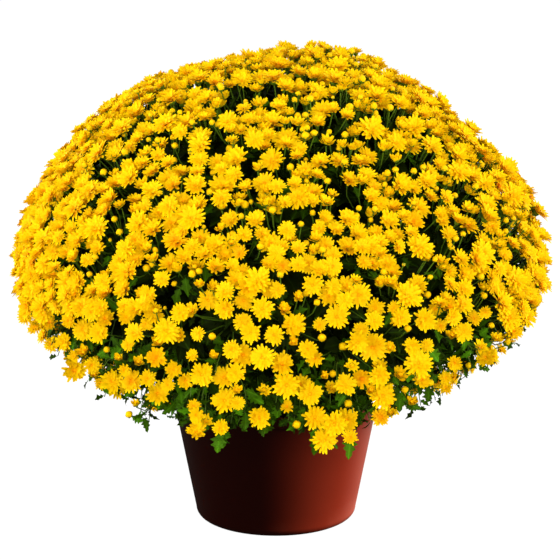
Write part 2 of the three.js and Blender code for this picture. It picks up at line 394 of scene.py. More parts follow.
def petal(length, width, lifts, levels, column, columns):
    """One petal along +X from the origin, +Z its upper side, and how far along each point is.

    lifts are its angles above level at its base and at its tip.
    """
    first, last = lifts
    bend = last - first if abs(last - first) > 1e-3 else 1e-3
    rows = [(s, edge * share / 2, PETAL_CUP * share * abs(edge))
            for s, share, count in levels for edge in np.linspace(-1, 1, count)]
    s, side, rise = np.array(rows).T
    angle = first + bend * s
    x = length * (np.sin(angle) - math.sin(first)) / bend - rise * width * np.sin(angle)
    z = length * (math.cos(first) - np.cos(angle)) / bend + rise * width * np.cos(angle)
    places = np.stack([(column + 0.5 + 0.9 * side) / columns, 0.04 + 0.92 * s], -1)
    triangles = POINTED if levels is INNER_PETAL else BLUNT
    return np.stack([x, side * width, z], -1), np.array(triangles), places, s


def petal_ring(random, ring, column, columns):
    """A whorl of petals. ring holds count, length, width, radius, height, lifts, warmth, levels."""
    count, length, width, radius, height, lifts, warmth, levels = ring
    shapes = []
    offset = random.uniform(0, 2 * math.pi)
    for k in range(count):
        lift_shift = random.normal(0, PETAL_LIFT_SPREAD)
        own_lifts = [math.radians(lift + lift_shift) for lift in lifts]
        own_length = length * random.uniform(*PETAL_LENGTHS)
        points, triangles, places, s = petal(own_length, width, own_lifts, levels, column, columns)
        roll = math.radians(random.normal(0, PETAL_ROLL_SPREAD))
        points = rotated(points, roll, Y, Z) + [radius, 0, height]
        shift = random.uniform(-PETAL_TURN_SPREAD, PETAL_TURN_SPREAD)
        points = rotated(points, offset + 2 * math.pi * (k + shift) / count, X, Y)
        shade = np.full(len(s), random.uniform(-1, 1))
        # each ring's own tone, deepened towards the petal's foot by painted crease shade
        shapes.append((points, triangles, places, warmth + PETAL_FOOT_PAINTED_SHADE * (1 - s) ** 2, shade))
    return shapes


def head_middle(random, radius, height, warmth, column, columns):
    """The tight knot of unopened florets in a head's middle."""
    wobble = random.uniform(0.8, 1.2, MIDDLE_SIDES)
    ring = circle(radius * wobble, around(MIDDLE_SIDES), height * MIDDLE_RING)
    points = np.concatenate([ring, [[0, 0, height]]])
    places = 0.5 + 0.4 * points[:, :2] / radius
    places = np.stack([(column + places[:, 0]) / columns, np.clip(places[:, 1], 0.03, 0.97)], -1)
    triangles = fan(MIDDLE_SIDES, 0, MIDDLE_SIDES)
    return points, triangles, places, np.full(len(points), warmth), np.zeros(len(points))


def head_of_rings(random, rings, middle):
    columns = len(rings) + 1
    shapes = []
    for column, ring in enumerate(rings):
        shapes += petal_ring(random, ring, column, columns)
    shapes.append(head_middle(random, *middle, len(rings), columns))
    return join_shapes(shapes)


def open_head(random, openness):
    """An open double head of radius 1. openness runs from 0, still bowl shaped, to 1, flat."""
    tilt = 30 * (1 - openness)
    outer = int(random.integers(18, 22))
    # count, length, width, radius, height, lifts at foot and tip, warmth, levels
    rings = (
        (outer, 0.87, 0.25, 0.20, 0.0, (18 + tilt, -4 + 1.1 * tilt), -0.12, LONG_PETAL),
        (15, 0.80, 0.26, 0.15, 0.06, (26 + tilt, 4 + tilt), 0.05, SHORT_PETAL),
        (10, 0.66, 0.30, 0.11, 0.12, (36 + tilt, 10 + tilt), 0.20, INNER_PETAL),
        (6, 0.44, 0.30, 0.07, 0.17, (48 + tilt * 0.6, 16 + tilt * 0.6), 0.38, INNER_PETAL),
    )
    return head_of_rings(random, rings, (0.14, 0.27, random.uniform(0.42, 0.80)))


def half_open_head(random, openness):
    """A half-open head of radius 1 at its mouth: upright petals round a closed middle."""
    spread = 24 * openness
    # count, length, width, radius, height, lifts at foot and tip, warmth, levels
    rings = (
        (11, 1.65, 0.60, 0.20, 0.0, (30 - spread / 2, 84 - 1.5 * spread), -0.25, SHORT_PETAL),
        (8, 1.45, 0.56, 0.16, 0.1, (48 - spread, 92 - spread), -0.10, INNER_PETAL),
        (5, 1.2, 0.5, 0.10, 0.2, (68, 100), 0.05, INNER_PETAL),
    )
    return head_of_rings(random, rings, (0.34, 1.25, 0.35))


def bud_ball(random, squash):
    """A round closed bud of radius 1, standing on the origin, creased between its petals."""
    turn = around(BUD_SIDES)
    rings = []
    for level, height in enumerate(BUD_HEIGHTS):
        crease = 1 + CREASES[level % 2] * np.cos(turn * BUD_SIDES / 2)
        radius = math.sqrt(1 - (height - 1) ** 2) * crease
        rings.append(circle(radius, turn + CREASE_TWIST * level, height * squash))
    points = np.concatenate([*rings, [[0, 0, BUD_TOP * squash]]])
    tip = len(points) - 1
    triangles = np.concatenate([wall(BUD_SIDES, len(rings))[0], fan(BUD_SIDES, tip - BUD_SIDES, tip)])
    along = np.append(np.repeat(np.arange(len(rings)) / len(rings), BUD_SIDES), 1.0)
    places = 0.5 + 0.42 * points[:, :2] / 1.1
    warmth = BUD_WARMTH - BUD_TOP_FRESHER * along
    return points, triangles, places, warmth, random.uniform(-0.4, 0.4, len(along))


# ---------------------------------------------------------------- leaves
# Half of a lobed leaf's edge, as (along, across) for a leaf of length 1.
LARGE_LEAF_EDGE = (
    (0.14, 0.015), (0.20, 0.06), (0.27, 0.23), (0.37, 0.13), (0.50, 0.34),
    (0.57, 0.16), (0.72, 0.27), (0.77, 0.13), (0.88, 0.13), (1.0, 0.0),
)
SMALL_LEAF_EDGE = ((0.12, 0.02), (0.30, 0.20), (0.42, 0.11), (0.62, 0.28), (0.72, 0.13), (1.0, 0.0))
DEEP_LEAF_EDGE = ((0.10, 0.02), (0.34, 0.27), (0.66, 0.25), (1.0, 0.0))
LARGE, SMALL, DEEP = range(3)
LEAF_EDGES = (LARGE_LEAF_EDGE, SMALL_LEAF_EDGE, DEEP_LEAF_EDGE)
LEAF_BENDS = ((0.1, 0.35), (0.3, 0.2), (0.5, 0.3), (0.2, 0.5), (0.7, 0.25))  # droop and fold
LEAF_STALK = 0.014  # half its width
LEAF_RIB = 0.985  # where the rib's points are, as a share of the edge's way along
LEAF_WAVE, LEAF_WAVE_SLOPE = 0.18, 14  # how high the edge waves, and how fast
LEAF_SIDES = 0.88, 1.12  # the narrowest and the widest half, as shares


def leaf_shape(random, edge, droop, fold):
    """A leaf of length 1 along +X with its stalk's foot at the origin and +Z its upper side."""
    along, across = np.array(edge).T
    left, right = across * random.uniform(*LEAF_SIDES, (2, len(edge)))
    points = np.concatenate(
        [
            np.stack([along, -left, left * fold], -1),
            np.stack([along * LEAF_RIB, 0 * along, 0 * along], -1),
            np.stack([along, right, right * fold], -1),
            [[0, -LEAF_STALK, 0], [0, LEAF_STALK, 0]],
        ]
    )
    count = len(edge)
    triangles = []
    for i in range(count - 1):
        left, mid, right = i, count + i, 2 * count + i
        triangles += [(left, mid + 1, mid), (mid, mid + 1, right)]
        if i < count - 2:
            triangles += [(left, left + 1, mid + 1), (mid + 1, right + 1, right)]
    foot = 3 * count
    triangles += [(foot, 0, count), (foot, count, foot + 1), (foot + 1, count, 2 * count)]
    along, across = points[:, 0], np.abs(points[:, 1])
    places = np.stack([0.5 + points[:, 1], 0.02 + along * 0.96], -1)
    wave = LEAF_WAVE * np.sin(along * LEAF_WAVE_SLOPE + random.uniform(0, 6)) * across
    height = points[:, 2] + wave - droop * along**2
    bent = np.stack([along * (1 - 0.25 * droop * along), points[:, 1], height], -1)
    return bent, np.array(triangles), places, along, across


# ---------------------------------------------------------------- where the heads are
OPEN, HALF_OPEN, BUD, GREEN_BUD = range(4)
RADII = {OPEN: (9.5 * MM, 17.5 * MM), HALF_OPEN: (5.0 * MM, 8.0 * MM), BUD: (3.2 * MM, 4.8 * MM)}
SPACING = {OPEN: 0.495, HALF_OPEN: 0.66, BUD: 0.80}  # of the sum of two heads' radii, at least
MOST_HEADS = {OPEN: 2160, HALF_OPEN: 620, BUD: 640}  # apart from those with a place in the photo
GAP_MARGIN = {OPEN: 7, HALF_OPEN: 2.8, BUD: 0}  # pixels that a head's middle stays off a front gap
CANDIDATES = 60_000
HEADS_OFF_EDGE = 0.02  # radians that they keep off the dome's open underside
SPACING_RANGE = 0.20  # how much wider open heads stand in the thinner places
SPACING_SHARE, SPACING_FALL = 0.6, 0.7  # the share of that at a fullness of 0, and its fall for 1 more
CLUMP_LENGTH = 0.055  # across the clumps of heads and the thin places between them
THIN_PLACES = -0.58  # of the waves that make them, where there are no open heads
FULLER_LEFT = 0.9  # how much of that is made up for on the plant's left
# Degrees from straight up, and over how many degrees more or fewer something grows to its full size:
FULLER_ABOVE, FULLER_BELOW = (120, -20), (55, 25)  # the fuller left side
TOP_WIDER, LOW_WIDER, LAST_HEADS = (70, -30), (94, 32), (137, -32)  # the spacing, and the chance
TOP_SPACING = 0.15  # how much further apart heads stand at the top
LOW_SPACING = 0.70  # and low down
HEADS_UP = 0.80  # how much the heads turn up from square to the dome
SMALL_HEADS_UP = 0.75  # how much more so the buds and the half-open heads do
HEADS_FORWARD = 0.28  # how much all but those at the back turn to the front, where the light comes from
BEHIND_FROM = 1.5  # how fast that ends towards the back
# How much more or less the heads high on the dome turn out, up and to the front.
HIGH_OUT, HIGH_UP, HIGH_FORWARD = 0.35, -0.5, 0.5
HEADS_WAY_SPREAD, FRONT_WAY_SPREAD = 0.27, 0.22
SHOWN_FROM = -0.05  # the cosine between the dome's normal and the way to the camera
OPEN_OUTS = [o * MM for o in (3, -3, -8, 7)]  # how far the heads stand out of the dome
SMALL_OUTS = [o * MM for o in (0, 5, -5, -10)]
OVERLAP = 1.05  # of two heads' radii, within which they should not stand out equally far

# Places in the photo's frame where only leaves and stalks show between the heads:
# x, y, half width, half height.
FRONT_GAPS = (
    (230, 103, 9, 9), (252, 98, 7, 6), (270, 100, 9, 7), (301, 110, 13, 6), (218, 140, 9, 11),
    (313, 148, 6, 10), (247, 169, 7, 8), (280, 171, 13, 7), (184, 156, 9, 6), (213, 222, 7, 13),
    (246, 213, 7, 6), (271, 220, 8, 6), (254, 258, 6, 12), (186, 284, 13, 6), (98, 172, 9, 6),
    (113, 168, 8, 5), (136, 154, 8, 5), (126, 219, 8, 9), (117, 243, 8, 7), (162, 246, 7, 7),
    (343, 103, 10, 8), (368, 117, 10, 8), (387, 121, 9, 7), (335, 139, 5, 12), (333, 176, 6, 7),
    (351, 192, 11, 6), (341, 205, 11, 8), (301, 216, 10, 9), (366, 221, 5, 9), (382, 165, 8, 7),
    (412, 162, 13, 9), (347, 266, 9, 6), (290, 280, 9, 8), (369, 278, 11, 7), (409, 273, 8, 10),
    (427, 270, 13, 8), (450, 190, 8, 6), (466, 198, 12, 7), (433, 235, 12, 8), (441, 249, 15, 7),
    (466, 243, 7, 9), (487, 169, 6, 5), (497, 212, 6, 6), (511, 230, 8, 7), (476, 293, 8, 8),
    (486, 315, 9, 8), (446, 346, 9, 8), (464, 362, 9, 8), (517, 262, 7, 8), (104, 264, 4, 8),
    (88, 275, 5, 6), (147, 279, 7, 5), (167, 300, 13, 11), (114, 314, 5, 7), (117, 335, 9, 9),
    (145, 339, 9, 8), (136, 353, 10, 8), (82, 344, 7, 6), (104, 357, 8, 10), (420, 300, 8, 6),
    (418, 330, 7, 6), (402, 345, 8, 10), (405, 380, 9, 9), (160, 385, 10, 8), (528, 212, 9, 6),
    (10, 235, 8, 9), (547, 304, 9, 8),
)
# Low on the front side every head has its place: x, y, radius, in the photo's frame.
FRONT_HEADS = (
    (202, 374, 12), (185, 381, 9), (232, 350, 9), (243, 356, 13), (263, 358, 12), (281, 365, 13),
    (225, 378, 12), (236, 373, 11), (225, 401, 12.5), (238, 403, 7), (259.5, 417, 11.5),
    (264, 391, 4.5), (237, 391, 4.3), (287, 407, 7.5), (287, 385, 14), (301, 385, 10),
    (310, 394, 12), (314, 417, 13), (324, 440, 12), (334, 424, 13), (347, 420, 12),
    (350, 438, 8), (194, 406, 7), (197, 415, 9), (206, 422, 4.6), (197, 432, 11),
    (221, 428, 8.5), (193, 356, 7), (214, 357, 4.6), (212, 338, 3.6), (198, 334, 7),
    (308, 350, 10), (315, 358, 10), (293, 342, 5), (251, 333, 11), (275, 335, 10),
    (293, 326, 14), (337, 317, 12), (320, 325, 7), (359, 295, 12), (375, 308, 10),
    (374, 321, 10), (357, 342, 12), (373, 347, 14), (361, 330, 8), (390, 348, 5),
    (342, 348, 4.1), (345, 385, 11), (361, 379, 11), (380, 376, 11), (382, 396, 14),
    (332, 389, 5), (324, 376, 4.2), (332, 375, 3.6), (348, 405, 4), (298, 298, 5),
    (306, 295, 3.2), (317, 304, 3.4), (284, 311, 6), (394, 308, 7), (397, 321, 8),
    (380, 417, 9), (296, 426, 4.1), (330, 296, 12), (312, 285, 11), (262, 309, 12),
    (243, 322, 9), (226, 309, 11), (208, 300, 10), (244, 300, 10), (192, 312, 6),
    (352, 366, 4.5), (322, 339, 4), (345, 301, 9), (390, 415, 5), (270, 290, 10),
    (130, 416, 3.6), (136, 406, 4.3), (51, 324, 9), (52, 344, 8), (65, 342, 10), (70, 321, 9),
    (84, 330, 11), (100, 333, 11), (106, 319, 11), (75, 370, 13), (84, 354, 6.4), (75, 356, 7), (92, 365, 8),
    (95, 376, 5.5), (101, 383, 7), (113, 381, 12), (132, 381, 11), (125, 370, 7), (135, 333, 10),
    (129, 345, 7), (127, 317, 10), (108, 351, 3.3), (120, 359, 4.4), (139, 363, 5.3), (156, 358, 12),
    (174, 370, 10), (148, 379, 9), (158, 394, 12), (158, 343, 5.5), (166, 331, 12.5), (147, 324, 7),
    (179, 337, 5.5), (154, 315, 10), (180, 314, 8), (168, 385, 7), (401, 318, 10), (407, 330, 3.5),
    (424, 320, 12), (440, 326, 7), (452, 317, 9), (463, 332, 10), (451, 336, 6), (473, 319, 8),
    (490, 327, 3.2), (508, 318, 13), (512, 332, 10), (526, 318, 10), (412, 346, 9), (427, 346, 7),
    (418, 364, 14), (421, 380, 10), (399, 376, 6.4), (370, 391, 5), (404, 391, 3.6), (411, 404, 5.5),
    (430, 384, 3.6), (454, 363, 8), (445, 378, 7), (445, 388, 7.5), (468, 368, 3.4), (486, 358, 10),
    (480, 348, 5), (500, 350, 6.6), (495, 340, 5), (380, 368, 5.5), (389, 388, 3.5), (402, 315, 9),
    (435, 308, 8), (60, 308, 8), (92, 312, 9), (485, 312, 7), (515, 308, 9), (40, 314, 8),
    (26, 317, 8), (36, 328, 8),
)
FRONT_HEAD_SIZE = 1.07  # of a head with its petals' tips, for the radii above
FRONT_HEADS_ROW = 313  # below it, and in one more part of the frame, the front has no other heads
FRONT_HEADS_FROM = (186, 292)  # the upper left corner of that part
FRONT_HEADS_TO = (398, 460)  # and its lower right corner
OPEN_FROM, HALF_OPEN_FROM = 6.5, 4.15  # the least radius there of an open and a half-open head
FRONT_HEADS_OUT = 0.55  # how much they turn out from the way to the camera
FRONT_HEADS_UP, SMALL_FRONT_HEADS_UP = 0.2, 0.9  # and up
FRONT_OUTS = [o * MM for o in (0, -8, 7, -14, 12)]  # how far they may stand out
HANGING_ROW = 396
HANGING_OUTS = [o * MM for o in (8, 0, 15, 4, 20)]  # and below that row
LOW_ROW = 340
LOW_HEADS_RADIUS = 0.265  # below that row they hang at least so far from the pot's axis
LOWEST_ROW = 416  # below it they hang over the pot, as far away as the dome's edge


class Heads:
    """The places, ways, radii, kinds and outward shifts of the flower heads placed so far."""

    def __init__(self, room):
        self.places, self.ways = np.empty((2, room, 3))
        self.radii, self.outs = np.empty((2, room))
        self.kinds = np.empty(room, int)
        self.count = 0

    def add(self, place, way, radius, kind, out):
        i = self.count
        self.places[i], self.ways[i], self.radii[i] = place, way, radius
        self.kinds[i], self.outs[i] = kind, out
        self.count += 1

    def near(self, place, radius, spacing):
        """Which heads are nearer to a place than `spacing` times the two heads' radii."""
        apart = np.linalg.norm(self.places[: self.count] - place, axis=1)
        return apart < spacing * (self.radii[: self.count] + radius)

    def clear_out(self, place, radius, choices):
        """The choice of shift that is furthest from those of the heads it would lie over."""
        outs = self.outs[: self.count][self.near(place, radius, OVERLAP)]
        if not len(outs):
            return choices[0]
        return max(choices, key=lambda c: np.abs(outs - c).min())

    def trim(self):
        """Drops the room that is left over."""
        for name in ("places", "ways", "radii", "kinds"):
            setattr(self, name, getattr(self, name)[: self.count])


def near_front_gap(pixels, margin):
    """Which places in the photo's frame lie in one of the gaps or nearer than the margin to it."""
    near = np.zeros(len(pixels), bool)
    for x, y, half_width, half_height in FRONT_GAPS:
        across = (pixels[:, 0] - x) / (half_width + margin)
        down = (pixels[:, 1] - y) / (half_height + margin)
        near |= across**2 + down**2 < 1
    return near


def head_way(directions, random):
    """Which way heads face: out of the dome, towards the light, and each a little its own way."""
    normal = dome_normal(directions)
    high = np.clip(normal[..., 2:], 0, 1)
    not_behind = np.clip(1 - BEHIND_FROM * normal[..., 1:2], 0, 1)
    outwards = normal * LEVEL * (1 + HIGH_OUT * high)
    upwards = UP * (normal[..., 2:] + HEADS_UP * (1 + HIGH_UP * high))
    forwards = FRONT * HEADS_FORWARD * (1 + HIGH_FORWARD * high) * not_behind
    return unit(outwards + upwards + forwards + random.normal(0, HEADS_WAY_SPREAD, normal.shape))


def place_front_heads(heads, random):
    """The heads that have a place in the photo, on the rays through it and near the dome."""
    for x, y, size in FRONT_HEADS:
        direction = hit_dome(x, min(y, LOWEST_ROW))
        distance = away_from_camera(dome_point(direction))
        ray = pixel_ray(x, y)
        if y > LOW_ROW:
            across = camera_place[0] + ray[0] * distance
            back = -math.sqrt(max(LOW_HEADS_RADIUS**2 - across**2, 0))
            distance = min(distance, (back - camera_place[1]) / ray[1])
        kind = OPEN if size > OPEN_FROM else HALF_OPEN if size > HALF_OPEN_FROM else BUD
        outwards = dome_normal(direction) * LEVEL * FRONT_HEADS_OUT
        upwards = UP * (FRONT_HEADS_UP if kind == OPEN else SMALL_FRONT_HEADS_UP)
        way = unit(-ray + outwards + upwards + random.normal(0, FRONT_WAY_SPREAD, 3))
        radius = FRONT_HEAD_SIZE * size * distance / pixels_per_slope
        level = camera_place + ray * distance
        out = heads.clear_out(level, radius, FRONT_OUTS if y < HANGING_ROW else HANGING_OUTS)
        heads.add(level - ray * out, way, radius, kind, out)


def crowding(directions, surface):
    """Places' fullness, how much wider the open heads stand there, and the chance of a head."""
    low = np.degrees(np.arccos(directions[:, 2]))
    full = waves(surface, CLUMP_LENGTH, seed=5) + 0.5 * waves(surface, CLUMP_LENGTH / 2, seed=6)
    left = np.clip(-directions[:, 0], 0, 1)
    full += FULLER_LEFT * left * (fade(low, *FULLER_ABOVE) * fade(low, *FULLER_BELOW))
    wider = SPACING_RANGE * np.clip(SPACING_SHARE - SPACING_FALL * full, 0, 1)
    wider += TOP_SPACING * fade(low, *TOP_WIDER)
    wider += LOW_SPACING * fade(low, *LOW_WIDER)
    return full, wider, fade(low, *LAST_HEADS) ** 2


def place_heads():
    """All the heads: those with a place in the photo, then each kind where there is still room."""
    random = np.random.default_rng(seed=21)
    heads = Heads(sum(MOST_HEADS.values()) + len(FRONT_HEADS))
    place_front_heads(heads, random)
    directions = fibonacci(CANDIDATES)
    directions = directions[np.arccos(directions[:, 2]) < LOWEST_ANGLE - HEADS_OFF_EDGE]
    surface, normals = dome_point(directions), dome_normal(directions)
    pixels = to_pixels(surface)
    shown = (unit(camera_place - surface) * normals).sum(-1) > SHOWN_FROM
    taken = ((pixels > FRONT_HEADS_FROM) & (pixels < FRONT_HEADS_TO)).all(-1)
    taken |= pixels[:, 1] > FRONT_HEADS_ROW
    full, wider, chance = crowding(directions, surface)
    ways = head_way(directions, random)
    for kind, left in MOST_HEADS.items():
        luck, size_luck = random.uniform(size=(len(directions), 2)).T
        barred = (luck > chance) | ((near_front_gap(pixels, GAP_MARGIN[kind]) | taken) & shown)
        if kind == OPEN:
            barred |= full < THIN_PLACES
        least, most = RADII[kind]
        for i in np.flatnonzero(~barred):
            if left == 0:
                break
            radius = least + (most - least) * size_luck[i]
            spacing = SPACING[kind] + (wider[i] if kind == OPEN else 0)
            if heads.near(surface[i], radius, spacing).any():
                continue
            out = heads.clear_out(surface[i], radius, OPEN_OUTS if kind == OPEN else SMALL_OUTS)
            way = ways[i] if kind == OPEN else unit(ways[i] + UP * SMALL_HEADS_UP)
            heads.add(surface[i] + normals[i] * out, way, radius, kind, out)
            left -= 1
    heads.trim()
    return heads


# ---------------------------------------------------------------- materials
class Nodes:
    """The node tree of a material or the world, with short calls for its nodes."""

    def __init__(self, owner):
        owner.use_nodes = True
        self.tree = owner.node_tree

    def node(self, kind):
        return self.tree.nodes.new("ShaderNode" + kind)

    def feed(self, socket, value):
        """Gives a socket a value of its own, or another node's output."""
        if isinstance(value, bpy.types.NodeSocket):
            self.tree.links.new(value, socket)
        else:
            socket.default_value = value

    def math(self, operation, *values):
        node = self.node("Math")
        node.operation = operation
        for socket, value in zip(node.inputs, values):
            self.feed(socket, value)
        return node.outputs[0]

    def ray_switch(self, seen, lighting, mirrored):
        """A value for camera rays, another for the light that it gives and one for reflections."""
        path = self.node("LightPath").outputs
        value = self.math("MULTIPLY_ADD", path["Is Camera Ray"], seen - lighting, lighting)
        shine = self.math("MULTIPLY", path["Is Glossy Ray"], mirrored - lighting)
        return self.math("ADD", value, shine)


class Surface(Nodes):
    """A material on the Principled shader."""

    def __init__(self, name, roughness, gloss):
        self.material = bpy.data.materials.new(name)
        super().__init__(self.material)
        self.shader = self.tree.nodes["Principled BSDF"].inputs
        self.feed(self.shader["Roughness"], roughness)
        self.feed(self.shader["Specular IOR Level"], gloss)

    def value(self, name):
        """A value that the mesh holds for each point."""
        node = self.node("Attribute")
        node.attribute_name = name
        return node.outputs["Fac"]

    def place(self):
        return self.node("TexCoord").outputs["Object"]

    def noise(self, scale, detail, place=None):
        node = self.node("TexNoise")
        self.feed(node.inputs["Scale"], scale)
        self.feed(node.inputs["Detail"], detail)
        self.feed(node.inputs["Vector"], self.place() if place is None else place)
        return node.outputs["Fac"]

    def color_by(self, tone, *stops):
        """Colours the surface by where a value falls between the stops."""
        node = self.node("ValToRGB")
        elements = node.color_ramp.elements
        while len(elements) < len(stops):
            elements.new(0.5)
        for element, (place, color) in zip(elements, stops):
            element.position = place
            element.color = (*color, 1)
        self.feed(node.inputs["Fac"], tone)
        self.feed(self.shader["Base Color"], node.outputs["Color"])

    def bump(self, height, distance, strength):
        node = self.node("Bump")
        self.feed(node.inputs["Distance"], distance)
        self.feed(node.inputs["Strength"], strength)
        self.feed(node.inputs["Height"], height)
        self.feed(self.shader["Normal"], node.outputs["Normal"])


def petal_material():
    """Lemon yellow at the tips of the outer petals, deepening to gold inwards, with painted shade at the
    petals' feet and a painted paler tint for the light on the top heads.
    """
    petals = Surface("petals", roughness=0.6, gloss=0.04)
    # warmth holds each ring's own tone plus painted crease shade at the petals' feet; the other value adds
    # how ripe a head is and a painted paler tint for the light on the top heads
    tone = petals.math("ADD", petals.value("warmth"), petals.value("ripeness"))
    own_tint = petals.math("MULTIPLY", petals.value("shade"), 0.10)
    mottle = petals.math("MULTIPLY_ADD", petals.noise(900, 2.0), 0.13, own_tint)
    petals.color_by(
        petals.math("ADD", tone, mottle),
        (0.0, (1.0, 0.650, 0.001)),
        (0.25, (1.0, 0.610, 0.001)),
        (0.5, (1.0, 0.565, 0.001)),
        (0.75, (1.0, 0.490, 0.001)),
        (1.0, (0.90, 0.340, 0.001)),
    )
    return petals.material


def green_material():
    """Flower stalks, shoots and calyxes: bright green, browner and darker deep in the plant."""
    stalks = Surface("green_stalks", roughness=0.55, gloss=0.25)
    spots = stalks.math("MULTIPLY_ADD", stalks.noise(260, 3.0), 0.30, -0.15)
    stalks.color_by(
        stalks.math("ADD", spots, stalks.value("fresh")),
        (0.0, (0.050, 0.042, 0.010)),
        (0.3, (0.026, 0.050, 0.003)),
        (0.65, (0.078, 0.150, 0.004)),
        (1.0, (0.170, 0.300, 0.012)),
    )
    stalks.bump(stalks.noise(1400, 2.0), distance=0.2 * MM, strength=0.4)
    return stalks.material


def leaf_material():
    """Dark green lobed leaves with a paler rib and paler veins, painted darker still as shade deep in the
    plant.
    """
    leaves = Surface("leaves", roughness=0.55, gloss=0.04)
    along, across = leaves.value("along"), leaves.value("across")
    rib = leaves.math("EXPONENT", leaves.math("MULTIPLY", across, -28.0))
    slanted = leaves.math("MULTIPLY", leaves.math("SUBTRACT", along, across), 46.0)
    veins = leaves.math("POWER", leaves.math("ABSOLUTE", leaves.math("SINE", slanted)), 12.0)
    lines = leaves.math("MAXIMUM", rib, leaves.math("MULTIPLY", veins, 0.35))
    cloud = leaves.noise(70, 4.0)
    tone = leaves.math("MULTIPLY_ADD", cloud, 0.4, -0.2)
    # this value is low deep in the plant and high at its outside: painted shade on the leaves
    tone = leaves.math("ADD", tone, leaves.value("fresh"))
    leaves.color_by(
        leaves.math("ADD", tone, leaves.math("MULTIPLY", lines, 0.2)),
        (0.0, (0.0045, 0.0065, 0.0004)),
        (0.3, (0.0120, 0.0230, 0.0005)),
        (0.65, (0.0440, 0.1180, 0.0012)),
        (1.0, (0.1100, 0.3400, 0.0060)),
    )
    leaves.bump(leaves.math("SUBTRACT", cloud, lines), distance=0.6 * MM, strength=0.5)
    return leaves.material


def pot_material():
    """Satin moulded plastic, reddish brown, with faint scuffs and a little dust near the foot."""
    plastic = Surface("brown_plastic", roughness=0.5, gloss=0.22)
    place = plastic.place()
    cloud = plastic.noise(16, 5.0, place)
    height = plastic.node("SeparateXYZ")
    plastic.feed(height.inputs[0], place)
    dust = plastic.math("MULTIPLY_ADD", height.outputs["Z"], -9.0, 0.45)
    dust = plastic.math("MULTIPLY", plastic.math("MAXIMUM", dust, 0.0), cloud)
    plastic.color_by(
        plastic.math("MULTIPLY_ADD", cloud, 0.5, dust),
        (0.1, (0.090, 0.0082, 0.0030)),
        (0.45, (0.105, 0.0098, 0.0036)),
        (1.0, (0.140, 0.0280, 0.0160)),
    )
    plastic.feed(plastic.shader["Roughness"], plastic.math("MULTIPLY_ADD", cloud, 0.16, 0.30))
    plastic.bump(plastic.noise(900, 2.0, place), distance=0.06 * MM, strength=0.35)
    return plastic.material


def soil_material():
    """Dark peaty mix; `pale` picks out the perlite grains and the bark."""
    soil = Surface("potting_mix", roughness=0.95, gloss=0.1)
    crumbs = soil.noise(420, 5.0)
    soil.color_by(
        soil.math("MULTIPLY_ADD", crumbs, 0.3, soil.value("pale")),
        (0.0, (0.006, 0.004, 0.003)),
        (0.35, (0.030, 0.019, 0.012)),
        (0.6, (0.110, 0.060, 0.032)),
        (1.0, (0.650, 0.620, 0.560)),
    )
    soil.bump(crumbs, distance=1.5 * MM, strength=0.8)
    return soil.material


def wood_material():
    """Grey-brown bark, cracked along its length."""
    wood = Surface("woody_bark", roughness=0.85, gloss=0.15)
    stretched = wood.node("Mapping")
    wood.feed(stretched.inputs["Scale"], (1, 1, 0.25))
    wood.feed(stretched.inputs["Vector"], wood.place())
    bark = wood.noise(300, 5.0, stretched.outputs["Vector"])
    wood.color_by(
        bark,
        (0.3, (0.030, 0.020, 0.012)),
        (0.5, (0.100, 0.072, 0.045)),
        (0.7, (0.190, 0.150, 0.100)),
    )
    wood.bump(bark, distance=1.2 * MM, strength=0.8)
    return wood.material


# ---------------------------------------------------------------- pot, soil, crown and main stems
POT_SIDES = 128
POT_WALL = 2.6 * MM
POT_FLAT_RADIUS = 92 * MM  # of the flat foot
POT_LOW_RADIUS = 102.6 * MM  # of the wall, just above the rounded corner
POT_CORNER = 11 * MM  # between the foot and the wall
POT_WALL_LEVELS = 9
RIM_DEPTH = 13 * MM
RIM_OVERHANG = 4 * MM
RIM_FOOT = 2 * MM  # from the wall's last level to the rim
RIM_LOW_ROUND = 1.6 * MM
RIM_TOP_ROUND = 2 * MM
SHARP = math.radians(35)
DRAIN_HOLES = 6
DRAIN_HOLE_RADIUS = 6 * MM
DRAIN_HOLE_SIDES = 24
DRAIN_CIRCLE_RADIUS = 66 * MM

SOIL_SIDES, SOIL_RINGS = 96, 30
SOIL_MOUND = 4 * MM  # how far the soil rises from the wall to the crown
SOIL_DEPTH = 45 * MM  # of the part that is made
SOIL_FOOT = 0.94  # of the soil's radius, so deep down
SOIL_LUMPS = ((11, 1.0, 3), (5, 0.6, 4), (30, 1.2, 5))  # how long in mm, how high, and their seed
SOIL_RELIEF, SOIL_LOWER = 0.9, 1.3  # mm that the lumps rise and that they lie lower on average
CRUMBS = 420
PERLITE = 0.3  # its share of the crumbs
CRUMB_SIZES = {True: (0.8, 1.6), False: (1.2, 3.5)}  # mm, of the perlite and of the rest
CRUMBS_OUT = 0.97  # of the soil's radius, up to which they lie
CRUMB_SINK = 0.4 * MM

CROWN_SIDES, CROWN_ROWS = 56, 34
CROWN_FOOT = 0.72  # the radius of its foot, of its own
CROWN_RIDGES = (9 * MM, 12), (16 * MM, 13)  # the length and the seed of the fine and the broad ones
RIDGE_STRETCH = (1, 1, 0.35)
BROAD_SHARE, RIDGES_LOWER = 0.7, 0.6  # the broad ones' height, and how much lower they all are
CROWN_RELIEF = 1.5 * MM
CROWN_SHARP = math.radians(80)
RELIEF_RISE = 12 * MM  # over its foot, where it is fully knotty
STEM_SIDES, STEM_STEPS = 12, 30
STEM_CURVE = 5  # the degree of the curves that smooth the stems
STEM_INSIDE = 0.03  # of its length, that a stem starts inside the crown's bark
STEM_RADIUS, STEM_TAPER, STEM_FLARE, KNOT_HEIGHT = 3.1, 0.8, 2.0, 0.35  # mm
FLARE_FALL = 30  # how fast the flare at the foot ends
KNOT_SPACING = 25 * MM

